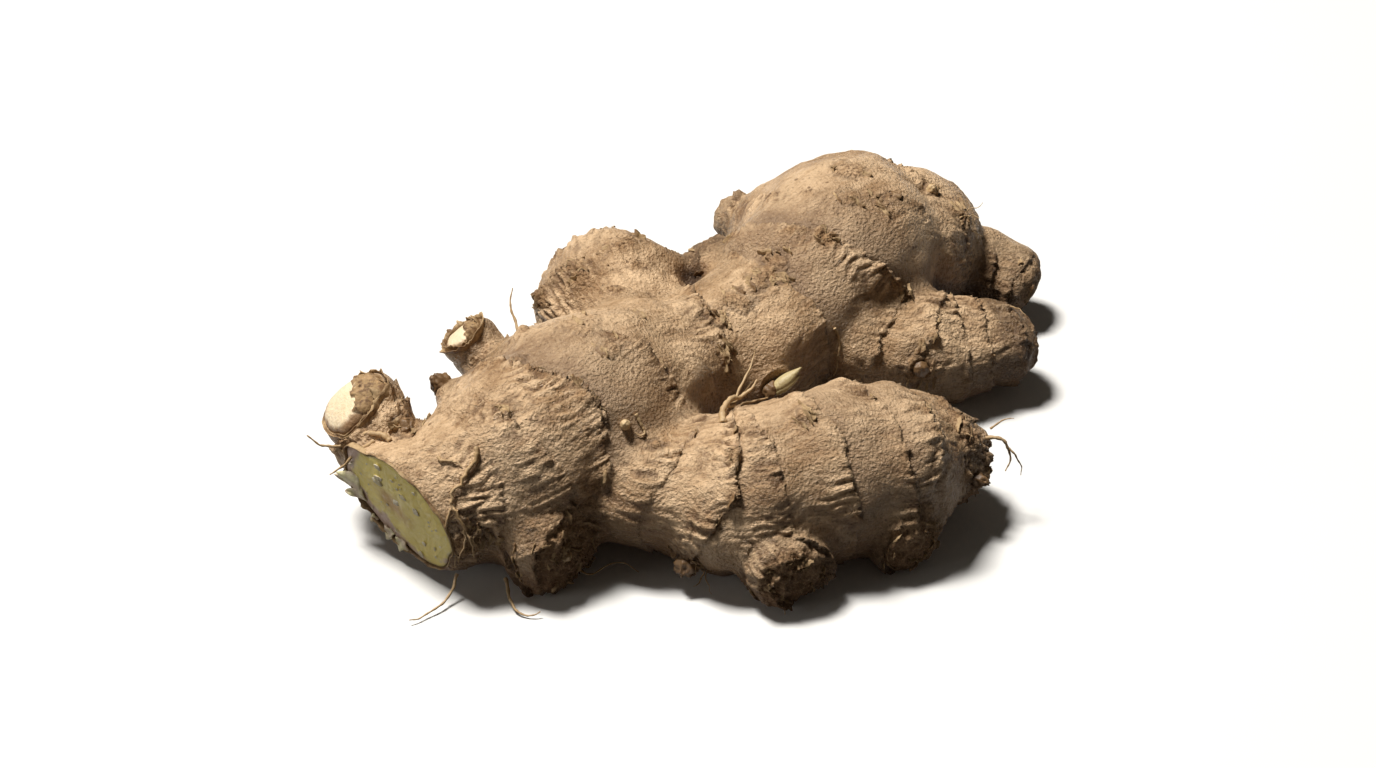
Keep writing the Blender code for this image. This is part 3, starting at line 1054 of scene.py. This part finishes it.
class GINGER_OT_flesh(bpy.types.Operator):
    """Fills the cut end and the two broken shoots with flesh, and scatters crumbs on the cut"""

    bl_idname = "ginger.flesh"
    bl_label = "Flesh"

    def execute(self, context):
        look = context.scene.ginger_flesh
        skin = need_skin()
        declared(flesh_disc(skin, "cut_flesh", "cut_face", 0.4, 0.6, 0.7), cut_finish(look))
        declared(flaps(skin), flap_finish(look))
        cream = cream_finish(look)
        declared(flesh_disc(skin, "shoot_left_flesh", "shoot_left_face", 0.5, 2.8, 0.7, 1.0), cream)
        declared(flesh_disc(skin, "shoot_top_flesh", "shoot_top_face", 0.4, 1.3, 0.5, 1.0), cream)
        declared(crumbs(skin), crumb_finish(look))
        return {"FINISHED"}


# Torn flaps round the cut: turn from its left end, where they start inside the rim, length, width and
# lift in mm.
FLAPS = (
    (0.02, -3.6, 6.2, 4.6, 0.7), (0.22, -2.6, 4.2, 3.6, 1.2), (0.75, -0.8, 1.8, 1.6, 0.5),
    (1.15, -1.8, 2.8, 3.2, 0.3), (1.50, -1.8, 2.9, 4.0, 0.3),
)
# A flap's grid of faces, its thickness, and how high over the face it starts, in mm.
FLAP_STEPS = 8
FLAP_THICKNESS = 0.45
FLAP_BASE = 0.55


def flaps(skin):
    """Torn flaps of skin and flesh that lie over the rim of the cut and stand out past it."""
    rim = Rim(skin.data, "cut_face")
    points, faces = [], []
    for number, (turn, start, long, wide, lift) in enumerate(FLAPS):
        edge = rim.far[int(rim.steps(turn)) % OUTLINE_STEPS]
        out = rim.out(turn)
        beside = np.cross(rim.way, out)
        faces += grid_faces(len(points), FLAP_STEPS, FLAP_STEPS)
        for i, k in np.ndindex(FLAP_STEPS + 1, FLAP_STEPS + 1):
            u, v = i / FLAP_STEPS, k / FLAP_STEPS - 0.5
            narrow = math.sqrt(max(1.0 - 0.85 * u**3, 0.0)) * (0.9 + 0.2 * math.sin(5.0 * u + number))
            ragged = 0.16 * long * math.sin(7 * v + 2.3 * number) * u
            rise = FLAP_BASE + lift * (u * u - 1.6 * v * v * u) + 0.2 * math.sin(5 * u + 6 * v + number)
            reach = edge + start + long * u + ragged
            points.append(rim.middle + out * reach + beside * (wide * v * narrow) + rim.way * rise)
    piece = mesh_piece("cut_flaps", points, faces)
    worked(piece, "SOLIDIFY", thickness=FLAP_THICKNESS * MM, offset=0)
    worked(piece, "SUBSURF", levels=1, render_levels=1)
    return piece


def flap_finish(look):
    """Patches of grey-brown skin and dried flesh."""
    f = Finish("flap_finish", roughness=0.5)
    colour = f.coats(
        FLAP_COLOURS[0],
        (FLAP_COLOURS[1], f.span(f.noise(330, 4, 0.6), 0.42, 0.6)),
        (look.crumb, f.span(f.noise(900, 3, 0.6), 0.5, 0.7, 0.0, 0.5)),
    )
    return f.done(colour, f.raised(f.noise(1500, 3, 0.6), 0.0002))


# How many crumbs lie on the cut and how many of them are large, how high they lie in mm, and how
# thick they are against their width.
CRUMBS = 34
LARGE_CRUMBS = 8
CRUMB_HEIGHT = 0.66
CRUMB_FLATNESS = 0.16


def crumbs(skin):
    """Small flat crumbs of starch lying on the cut face."""
    rim = Rim(skin.data, "cut_face")
    draw = np.random.default_rng(5)
    deselect()
    bpy.ops.mesh.primitive_ico_sphere_add(subdivisions=3, radius=MM)
    pattern = bpy.context.object
    ball = vertices(pattern.data)
    ball_faces = [tuple(face.vertices) for face in pattern.data.polygons]
    bpy.data.objects.remove(pattern)
    places, faces = [], []
    for i in range(CRUMBS):
        turn = draw.uniform(0, 2 * math.pi)
        reach = (rim.edge(turn) - 1.5) * math.sqrt(draw.uniform(0.02, 1))
        size = draw.uniform(0.5, 0.85) if i < LARGE_CRUMBS else draw.uniform(0.14, 0.36)
        long = draw.uniform(1.0, 1.7)
        spin = draw.uniform(0, math.pi)
        u, v = rim.out(spin), rim.out(spin + math.pi / 2)
        lumpy = 1 + 0.6 * grain(ball * 1.3 + i * 7.3, 64)[:, None]
        flat = ball[:, :1] * lumpy * long * u + ball[:, 1:2] * lumpy * v
        at = rim.middle + rim.out(turn) * reach + rim.way * CRUMB_HEIGHT
        faces += [tuple(k + i * len(ball) for k in face) for face in ball_faces]
        places.append(at + size * (flat + CRUMB_FLATNESS * ball[:, 2:] * rim.way))
    return mesh_piece("cut_crumbs", np.concatenate(places), faces)


def cut_finish(look):
    """Wet yellow-green flesh, darker in the middle, with a greyish band under the skin."""
    f = Finish("cut_flesh_finish", roughness=0.42, specular=0.35)
    f.soft(0.12, 0.0015, (1.0, 0.7, 0.3))
    share, clouds, fibres = f.layer("share"), f.noise(120, 4, 0.6), f.noise(900, 3, 0.6)
    wander = f.sum("ADD", share, f.span(clouds, 0.2, 0.8, -0.22, 0.22))
    turned = f.parts(f.layer("round", vector=True))
    leftward = f.sum("ADD", wander, f.scaled(f.sum("ADD", turned[0], turned[1]), 0.24))
    colour = f.coats(
        look.green,
        (GREEN_LIGHT, f.span(clouds, 0.35, 0.7, 0.0, 0.5)),
        (look.middle, f.span(wander, 0.50, 0.10, 0.0, 0.9)),
        (FIBRE_LIGHT, f.span(fibres, 0.55, 0.75, 0.0, 0.4)),
        (look.rim, f.span(leftward, 0.88, 1.04)),
        (RIM_BROWN, f.span(share, 0.94, 1.0, 0.0, 0.8)),
        (look.crumb, f.span(f.cells(420), 0.10, 0.04, 0.0, 0.45)),
    )
    return f.done(colour, f.raised(fibres, 0.00025), f.span(fibres, 0.3, 0.7, 0.34, 0.55))


def cream_finish(look):
    """Pale cream flesh that dries brown at its edge, under what is left of the skin."""
    f = Finish("shoot_flesh_finish", roughness=0.5)
    f.soft(0.1, 0.0012, (1.0, 0.7, 0.4))
    clouds, bark = f.noise(260, 4, 0.6), f.layer("bark")
    dried = f.sum("ADD", f.layer("share"), f.span(clouds, 0.3, 0.7, -0.1, 0.1))
    kept = f.coats(
        look.bark,
        (DRY_BROWN, f.span(f.noise(900, 4, 0.62), 0.46, 0.66)),
        (KEPT_LIGHT, f.span(clouds, 0.5, 0.66, 0.0, 0.6)),
    )
    colour = f.coats(
        look.cream,
        (CREAM_SHADE, f.span(clouds, 0.4, 0.7, 0.0, 0.5)),
        (EDGE_BROWN, f.span(dried, 0.78, 0.98)),
        (kept, bark, 0.97),
    )
    return f.done(colour, f.raised(f.noise(1400, 3, 0.6), 0.0003), f.blend(bark, 0.5, 0.8))


def crumb_finish(look):
    """Dry starch, a little yellow in places."""
    f = Finish("crumb_finish", roughness=0.7)
    colour = f.blend(f.span(f.noise(900, 2), 0.35, 0.65), look.crumb, CRUMB_SHADE)
    return f.done(colour, f.raised(f.noise(1800, 2), 0.00015))


# Points round a sleeve, and how deep it is rooted under the rim in mm.
COLLAR_STEPS = 132
COLLAR_ROOT = 0.9

# Each papery sleeve: the face that it stands round, its rows of points, its seed, and how far outside
# the rim it stands in mm. Then its height in mm and its outward lean, each with what it gains towards
# the way given last, and between which shares of that way.
COLLARS = (
    ("shoot_left_face", 4, 1.0, -0.15, (0.5, 2.4, -0.1, 0.8), (0.1, -0.7, 0.0, 0.8), SHOOT_RIGHT),
    ("shoot_left_face", 3, 4.0, 0.3, (0.2, 1.6, -0.2, 0.6), (0.3, 0, 0, 1), SHOOT_RIGHT),
    ("shoot_top_face", 4, 2.0, -0.2, (1.4, 1.6, 0.0, 0.9), (0.25, -0.6, 0.0, 0.9), SHOOT_RIGHT),
    ("shoot_top_face", 3, 6.0, 0.4, (1.2, 0, 0, 1), (0.7, 0, 0, 1), SHOOT_RIGHT),
    ("cut_face", 3, 3.0, -0.15, (0.65, 1.5, 0.5, 1.3), (0.25, 0, 0, 1), np.array((-1.0, 0.0, -1.0))),
)


def collar(rim, rows, seed, base, tall, lean, towards):
    """The points of one ragged papery sleeve: an open band that rises from the rim of a face."""
    turn = np.arange(COLLAR_STEPS) / COLLAR_STEPS * 2 * math.pi
    edge, out = rim.edge(turn), rim.out(turn)
    height, tilt = (low + gain * ramped(out @ towards, *ends) for low, gain, *ends in (tall, lean))
    ragged = 0.62 + sum(
        rise * grain(out * finer + seed, layer)
        for rise, finer, layer in ((0.8, 2.2, 71), (0.4, 6.5, 72), (0.22, 19, 73))
    )
    height = np.maximum(height * np.clip(ragged, 0.25, 1.3), 0.15)
    tilt = tilt + 0.35 * grain(out * 3.0 + seed, 74)
    points = []
    for row in range(rows + 1):
        t = row / rows
        curl = t * t * tilt * height + 0.12 * grain(out * 9 + row * 0.5 + seed, 75)
        rise = t * height - COLLAR_ROOT * (1 - t)
        points.append(rim.middle + out * (edge + base + curl)[:, None] + rim.way * rise[:, None])
    return np.concatenate(points)


class GINGER_OT_collars(bpy.types.Operator):
    """Wraps ragged papery collars round the cut end and the broken shoots"""

    bl_idname = "ginger.collars"
    bl_label = "Papery collars"

    def execute(self, context):
        look = context.scene.ginger_scales
        skin = need_skin()
        rims = {name: Rim(skin.data, name) for name in FACES}
        points, faces = np.empty((0, 3)), []
        for face, rows, *shape in COLLARS:
            faces += grid_faces(len(points), rows, COLLAR_STEPS, closed=True)
            points = np.concatenate([points, collar(rims[face], rows, *shape)])
        piece = mesh_piece("papery_collars", points, faces)
        worked(piece, "SOLIDIFY", thickness=look.thickness * 1.4, offset=0)
        declared(piece, paper_finish("collar_paper", look))
        return {"FINISHED"}


def paper_finish(name, look):
    """Dry papery scale with darker veins."""
    f = Finish(name, roughness=0.62, specular=0.35)
    patches, veins = f.noise(330, 4, 0.62), f.noise(1300, 3, 0.6, twist=1.2)
    colour = f.coats(
        look.shade,
        (look.straw, f.span(patches, 0.34, 0.64)),
        (look.shade, f.span(veins, 0.52, 0.7, 0.0, 0.6)),
    )
    return f.done(colour, f.raised(veins, 0.0002), f.span(patches, 0.3, 0.7, 0.5, 0.75))


# ---------------------------------------------------------------- scales along the rings

SCALE_ROWS, SCALE_COLUMNS = 3, 6


def scrap(tree, at, way, along, draw, number):
    """The points of one curled papery scrap that lies on the skin at a place."""
    along = unit(along - way * (along @ way))
    side = np.cross(way, along)
    wide, tall = draw.uniform(1.2, 4.2), draw.uniform(0.6, 1.7)
    curl, twist = draw.uniform(0.1, 0.6), draw.uniform(-0.5, 0.5)
    points = []
    for row, column in np.ndindex(SCALE_ROWS + 1, SCALE_COLUMNS + 1):
        t, w = row / SCALE_ROWS, column / SCALE_COLUMNS - 0.5
        length = tall * (0.45 + 0.55 * abs(math.sin(5.1 * w + number))) * (1 - 1.6 * abs(w) ** 1.5)
        lift = -0.12 + (0.14 + curl * t) * t * 1.3 + 0.08 * math.sin(9 * w + number * 1.7) * t
        reach = length * (t - 0.35) + twist * w * wide
        points.append(on_skin(tree, at + side * (wide * w) + along * reach, lift))
    return points


class GINGER_OT_scales(bpy.types.Operator):
    """Lays curled papery scraps along the leaf rings"""

    bl_idname = "ginger.scales"
    bl_label = "Papery scales"

    def execute(self, context):
        look = context.scene.ginger_scales
        mesh = need_skin().data
        tree = tree_of(mesh)
        places, ways, growth = vertices(mesh), outward(mesh), read_layer(mesh, "growth", 3)
        ring, crust, flesh, dark = (read_layer(mesh, key) for key in ("ring", "crust", "flesh", "dark"))
        chance = np.clip(ring - 0.3, 0, 1) + 0.25 * np.clip(crust - 0.35, 0, 1)
        chance *= 1 - 0.8 * np.clip(dark, 0, 1)
        chance[(flesh > 0.5) | (places[:, 2] < 1.5)] = 0
        draw = np.random.default_rng(11)
        picks = draw.choice(len(places), size=look.flakes, replace=False, p=chance / chance.sum())
        points, faces = [], []
        for number, row in enumerate(picks):
            faces += grid_faces(len(points), SCALE_ROWS, SCALE_COLUMNS)
            points += scrap(tree, places[row], ways[row], growth[row], draw, number)
        piece = mesh_piece("papery_scales", points, faces)
        worked(piece, "SOLIDIFY", thickness=look.thickness, offset=0)
        declared(piece, paper_finish("scale_paper", look))
        return {"FINISHED"}


# ---------------------------------------------------------------- rootlets

# Each rootlet in mm: thickness against the usual, whether it hugs the skin, then its points.
ROOTLETS = (
    (1.25, False, ((-59, -37, 25.5), (-61, -36, 26), (-64, -34.5, 25.2), (-67, -34, 22.8),
                   (-70, -35, 22.6), (-72.6, -35.5, 23.4), (-75, -35.5, 25.6))),
    (0.9, False, ((-62, -36, 24.6), (-65, -37, 23), (-68.5, -38, 20), (-71, -38.5, 18.5))),
    (1.0, True, ((-42, -47, 31.5), (-42, -50, 30), (-43.5, -51.5, 28), (-46, -53, 25), (-46.5, -54, 23),
                 (-45, -55, 20), (-43, -55, 15), (-42.5, -55, 11))),
    (0.7, True, ((-45.5, -54.5, 21), (-44, -55, 17), (-44.5, -55, 13), (-46, -55, 10))),
    (0.6, True, ((-46.5, -54, 22), (-47.5, -54, 18), (-47, -54.5, 14), (-45.5, -55, 9))),
    (0.8, True, ((-49.5, -47.5, 30.5), (-47.5, -49, 30.2), (-45, -50, 30))),
    (0.75, False, ((-46, -52, 5), (-47.5, -55, 2.2), (-50, -58, 1.2), (-53, -60.5, 0.8),
                   (-54.5, -61.5, 1.1))),
    (0.8, False, ((-37, -51, 3), (-36, -55, 1.0), (-34.5, -58, 0.6), (-32.5, -59.5, 0.7),
                  (-30, -59, 1.6))),
    (0.45, False, ((-24, -48, 4), (-21, -49, 2.4), (-17, -47.5, 3.6), (-14, -48, 4.2),
                   (-11.5, -49.5, 3.2))),
    (0.7, True, ((27.5, 3.5, 24), (28, 4, 22), (28.4, 4, 19), (28.2, 3, 15), (27, 2, 12))),
    (1.6, False, ((4.5, -34, 27.5), (4.8, -31, 28.8), (6, -28, 28.6), (8, -26, 28), (10, -24.5, 28.4),
                  (11.5, -22.5, 29.5))),
    (0.9, False, ((5.5, -29.5, 28.4), (7.5, -27, 26.4), (9.5, -24.5, 25.5), (12, -24, 25.8),
                  (13.5, -25, 27))),
    (0.7, False, ((7, -27, 28), (9, -23, 30), (10.5, -19, 31.5), (11, -17, 33.5))),
    (0.6, False, ((6, -14, 17.5), (8, -16, 20), (9, -17.5, 23), (10.5, -18, 26))),
    (0.8, True, ((-12.5, -35.5, 30.5), (-11, -37, 29.3), (-10, -38, 28.5), (-11, -38.8, 28),
                 (-12.3, -38.3, 28.2))),
    (0.8, False, ((-35, -6, 28), (-36.5, -3.5, 30.5), (-37.4, -1.5, 33), (-37, 0.5, 35.5))),
    (0.9, False, ((55, -25, 17.5), (58.5, -26, 18), (60.5, -26.5, 16), (61, -27, 13.5),
                  (60, -28, 11.5))),
    (0.5, False, ((60.5, -26.5, 16), (62, -27, 14.5), (63.2, -27.2, 12), (63.4, -27.4, 10))),
    (0.5, False, ((57, -24, 19), (59.5, -24, 21), (61.5, -24.5, 21.8))),
    (0.9, True, ((-30, -1, 22), (-32, 2, 18), (-31, 4, 13), (-28, 6, 8))),
    (0.9, False, ((-20, 8, 4), (-23, 12, 1.4), (-27, 15, 0.8), (-31, 16, 1.2))),
    (1.0, True, ((20, 52, 30), (16, 56, 26), (14, 58, 21), (15, 58.5, 15))),
    (0.7, False, ((36, 58, 6), (38, 62, 1.6), (42, 64, 0.8), (45, 64, 1.2))),
)

# Points between two of a route's own, how many joints a hair has, and how low each may run in mm.
ROOT_SPAN_POINTS, HAIR_SPAN_POINTS = 7, 3
HAIR_JOINTS = 7
ROOT_FLOOR, HAIR_FLOOR = 0.6, 0.5


def smooth_route(points, per_span):
    """More points on an even curve through the given ones."""
    return even_curve(points, (len(points) - 1) * per_span + 1)


def root_route(tree, number, thick, hugs, points):
    """A rootlet's route: close over the skin if it hugs it, and otherwise a little crooked."""
    route = smooth_route(points, ROOT_SPAN_POINTS)
    if hugs:
        route = np.array([on_skin(tree, at, 0.5 * thick) for at in route])
    else:
        route += 0.35 * np.stack([grain(route / 2.5 + number * 3, seed) for seed in (81, 82, 83)], 1)
    route[:, 2] = np.maximum(route[:, 2], ROOT_FLOOR)
    return route


def hair_route(at, way, draw):
    """A fine hair's route: out of the skin, then bending and sagging at random."""
    route, heading = [at - way * 0.5], way + draw.normal(0, 0.5, 3)
    step = draw.uniform(0.35, 0.9)
    for _ in range(HAIR_JOINTS):
        heading = unit(heading) + draw.normal(0, 0.32, 3) + (0, 0, -0.10)
        route.append(route[-1] + unit(heading) * step)
    route = smooth_route(route, HAIR_SPAN_POINTS)
    route[:, 2] = np.maximum(route[:, 2], HAIR_FLOOR)
    return route


class GINGER_OT_rootlets(bpy.types.Operator):
    """Grows dry rootlets and fine hairs out of the skin"""

    bl_idname = "ginger.rootlets"
    bl_label = "Rootlets"

    def execute(self, context):
        look = context.scene.ginger_rootlets
        mesh = need_skin().data
        tree = tree_of(mesh)
        routes = [(root[0], root_route(tree, number, *root)) for number, root in enumerate(ROOTLETS)]
        places, ways = vertices(mesh), outward(mesh)
        chance = np.clip(read_layer(mesh, "ring") - 0.4, 0, 1) * (ways[:, 2] < 0.5) * (places[:, 2] > 2)
        draw = np.random.default_rng(23)
        for row in draw.choice(len(places), size=look.hairs, replace=False, p=chance / chance.sum()):
            route = hair_route(places[row], ways[row], draw)
            routes.append((draw.uniform(0.3, 0.55), route))
        curve = bpy.data.curves.new("rootlets", "CURVE")
        curve.dimensions = "3D"
        curve.bevel_depth = look.radius
        curve.bevel_resolution = 1
        curve.use_fill_caps = True
        for thick, route in routes:
            strand = curve.splines.new("POLY")
            last = len(route) - 1
            strand.points.add(last)
            for i, (point, at) in enumerate(zip(strand.points, route)):
                point.co = (*(at * MM), 1)
                point.radius = thick * (1.15 - 0.85 * i / last) * (1 + 0.18 * math.sin(i * 1.9))
        piece = bpy.data.objects.new("rootlets", curve)
        context.scene.collection.objects.link(piece)
        pick(piece)
        bpy.ops.object.convert(target="MESH")
        piece = context.object
        piece.name = piece.data.name = "rootlets"
        declared(piece, rootlet_finish(look))
        return {"FINISHED"}


def rootlet_finish(look):
    """Dry root bark, paler in places."""
    f = Finish("rootlet_finish", roughness=0.6)
    bark = f.noise(1500, 3, 0.6)
    colour = f.coats(
        look.colour,
        ((0.50, 0.35, 0.19), f.span(f.noise(180, 2), 0.35, 0.65)),
        (DRY_BROWN, f.span(bark, 0.5, 0.7, 0.0, 0.45)),
    )
    return f.done(colour, f.raised(bark, 0.0001))


# ---------------------------------------------------------------- buds

BUD_SEGMENTS, BUD_RINGS = 32, 24

# The green bud's two leaves, as bud() takes them, with half lengths as shares of the bud's own.
LEAVES = (
    ((17.6, -8.6, 19.9), (0.76, 0.36, 0.50), 1.0, 1.75, 0.72, 0.04, 1.0, 0.8),
    ((17.6, -9.1, 19.0), (0.78, 0.34, 0.42), 0.85, 1.5, 0.6, 0.06, 2.0, 0.8),
)
EYES = (
    ((-14, -38.4, 30.2), (-0.1, -0.7, 0.7), 1.35, 1.15, 0.35, 0.12, 3.0),
    ((49, 41.6, 33.4), (0.2, -0.4, 0.9), 1.3, 1.2, 0.3, 0.2, 4.0),
    ((-25.5, -52.5, 9.6), (0.0, -0.9, 0.2), 1.5, 1.4, 0.3, 0.3, 6.0),
    ((19.5, 55.2, 26), (0.0, 0.8, 0.5), 1.3, 1.2, 0.3, 0.2, 7.0),
)
KNOBS = (
    ((-2.4, -50.6, 5.6), (-0.4, -0.85, -0.2), 2.4, 2.4, 0.35, 0.55, 8.0),
    ((-0.6, -50.6, 7.6), (0.3, -0.9, 0.3), 1.6, 1.4, 0.3, 0.6, 9.0),
    ((54.6, -32.2, 12.6), (0.75, -0.65, 0.05), 2.2, 1.7, 0.5, 0.35, 10.0),
    ((-50.0, -21.4, 27.6), (-0.6, 0.0, 0.75), 2.7, 2.5, 0.4, 0.4, 11.0),
    ((-55.6, -34.4, 26.2), (0.2, -0.5, 0.8), 1.7, 2.0, 0.3, 0.55, 12.0),
    ((14.6, -9.4, 17.8), (0.76, 0.36, 0.50), 2.0, 1.9, 0.3, 0.3, 14.0),
    ((45.1, 2.9, 14.4), (0.13, -0.95, 0.25), 1.2, 1.8, 0.2, 0.2, 5.0),
    ((67.2, 15.5, 11.5), (0.95, -0.1, 0.2), 1.8, 2.4, 0.3, 0.5, 15.0),
    ((-8, 26, 6), (-0.8, 0.5, 0.0), 1.6, 1.5, 0.3, 0.5, 13.0),
)


def bud(at, heading, half_length, half_width, point, lumps, seed, flat=1.0):
    """One closed bud: a sphere drawn out along its heading, tapered to a point, with lumps on it."""
    deselect()
    bpy.ops.mesh.primitive_uv_sphere_add(segments=BUD_SEGMENTS, ring_count=BUD_RINGS, radius=MM)
    piece = bpy.context.object
    ball = vertices(piece.data)
    narrow = 1 - point * np.clip((ball[:, 2] + 1) / 2, 0, 1) ** 1.7
    width = half_width * narrow
    shape = np.stack([ball[:, 0] * width, ball[:, 1] * width * flat, ball[:, 2] * half_length], 1)
    uneven = lumps * grain(ball * 1.6 + seed, 91) + 0.5 * lumps * grain(ball * 4.0 + seed, 92)
    shape *= 1 + uneven[:, None]
    turn = Vector(heading).to_track_quat("Z", "Y").to_matrix()
    places = shape @ np.array(turn).T + np.array(at, float)
    places[:, 2] = np.maximum(places[:, 2], 0.0)
    place_vertices(piece.data, places)
    return piece


def cluster(name, buds, stretch=None):
    """Several like buds as one piece; stretch, in mm, multiplies their half lengths."""
    pieces = [bud(at, heading, half * (stretch or 1), *shape) for at, heading, half, *shape in buds]
    deselect()
    for piece in pieces:
        piece.select_set(True)
    bpy.context.view_layer.objects.active = pieces[0]
    bpy.ops.object.join()
    pieces[0].name = pieces[0].data.name = name
    return pieces[0]


class GINGER_OT_buds(bpy.types.Operator):
    """Sets the green bud in its socket, the small round buds and the corky knobs"""

    bl_idname = "ginger.buds"
    bl_label = "Buds"

    def execute(self, context):
        look = context.scene.ginger_buds
        need_skin()
        green = cluster("green_bud", LEAVES, look.length / MM / 2)
        declared(green, bud_finish("green_bud_finish", look.green, (0.36, 0.27, 0.13)))
        round_finish = bud_finish("round_bud_finish", look.cream, (0.33, 0.19, 0.08))
        declared(cluster("round_buds", EYES), round_finish)
        knob_finish = bud_finish("knob_finish", (0.17, 0.095, 0.04), (0.06, 0.03, 0.012))
        declared(cluster("corky_knobs", KNOBS), knob_finish)
        return {"FINISHED"}


def bud_finish(name, fresh, dry):
    """Fresh bud skin with dry brown patches and fine lines."""
    f = Finish(name, roughness=0.5)
    colour = f.blend(f.span(f.noise(420, 4, 0.6), 0.46, 0.7, 0.0, 0.9), fresh, dry)
    return f.done(colour, f.raised(f.noise(1600, 3, 0.6), 0.00016))


# ---------------------------------------------------------------- the stage

FLOOR_SHADE = (0.70, 0.69, 0.675)
LIGHT_COLOUR = (1.0, 0.97, 0.92)
ROOM_COLOUR = (1, 0.88, 0.74, 1)
LIT_POINT = Vector((0, 0, 0.01))
CAMERA_TARGET = Vector((-2.06, -6.67, 17.4)) * MM


def facing(way):
    """The turn that points a lamp or the camera along a way."""
    return way.to_track_quat("-Z", "Y").to_euler()


class GINGER_OT_stage(bpy.types.Operator):
    """Lays the pale floor and sets the soft light and the camera"""

    bl_idname = "ginger.stage"
    bl_label = "Stage"

    def execute(self, context):
        look = context.scene.ginger_stage
        scene = context.scene
        deselect()
        bpy.ops.mesh.primitive_grid_add(x_subdivisions=8, y_subdivisions=8, size=6, location=(0, 0, 0))
        floor = context.object
        floor.name = "floor"
        f = Finish("pale_floor", roughness=0.85, specular=0.2)
        patches = f.span(f.noise(6, 3), 0.3, 0.7, 0.0, 0.04)
        floor.data.materials.append(f.done(f.blend(patches, look.floor, FLOOR_SHADE)))
        floor.visible_diffuse = False
        for name, place, size, power in (
            ("key_light", (-0.46, 0.18, 1.40), 0.32, look.key),
            ("left_light", (-1.20, -0.55, 0.26), 0.5, look.side),
        ):
            bpy.ops.object.light_add(type="AREA", location=place)
            lamp = context.object
            lamp.name = name
            lamp.data.energy = power
            lamp.data.size = size
            lamp.data.color = LIGHT_COLOUR
            lamp.rotation_euler = facing(LIT_POINT - lamp.location)
        world = bpy.data.worlds.new("soft_room")
        world.use_nodes = True
        room = world.node_tree.nodes["Background"]
        room.inputs["Color"].default_value = ROOM_COLOUR
        room.inputs["Strength"].default_value = look.fill
        scene.world = world
        away = Vector((0, -math.cos(look.camera_rise), math.sin(look.camera_rise)))
        bpy.ops.object.camera_add(location=CAMERA_TARGET + away * look.camera_distance)
        camera = context.object
        camera.name = "camera"
        camera.data.lens = look.lens
        camera.data.sensor_width = 36
        camera.data.clip_start = 0.01
        camera.rotation_euler = facing(-away)
        scene.camera = camera
        scene.view_settings.view_transform = "Standard"
        return {"FINISHED"}


class GINGER_PT_panel(bpy.types.Panel):
    """Lists the steps that build the ginger"""

    bl_idname = "GINGER_PT_panel"
    bl_label = "Ginger hand"
    bl_space_type = "VIEW_3D"
    bl_region_type = "UI"
    bl_category = "Ginger"

    def draw(self, context):
        for step in STEPS:
            self.layout.operator(step.bl_idname)


STEPS = (GINGER_OT_skin, GINGER_OT_flesh, GINGER_OT_collars, GINGER_OT_scales, GINGER_OT_rootlets,
         GINGER_OT_buds, GINGER_OT_stage)


def register():
    for group in SETTINGS.values():
        bpy.utils.register_class(group)
    for name, group in SETTINGS.items():
        setattr(bpy.types.Scene, name, PointerProperty(type=group))
    for step in STEPS:
        bpy.utils.register_class(step)
    bpy.utils.register_class(GINGER_PT_panel)


def unregister():
    bpy.utils.unregister_class(GINGER_PT_panel)
    for step in reversed(STEPS):
        bpy.utils.unregister_class(step)
    for name in SETTINGS:
        delattr(bpy.types.Scene, name)
    for group in SETTINGS.values():
        bpy.utils.unregister_class(group)


def main():
    register()
    for step in STEPS:
        group, name = step.bl_idname.split(".")
        getattr(getattr(bpy.ops, group), name)()
    deselect()


if __name__ == "__main__":
    main()
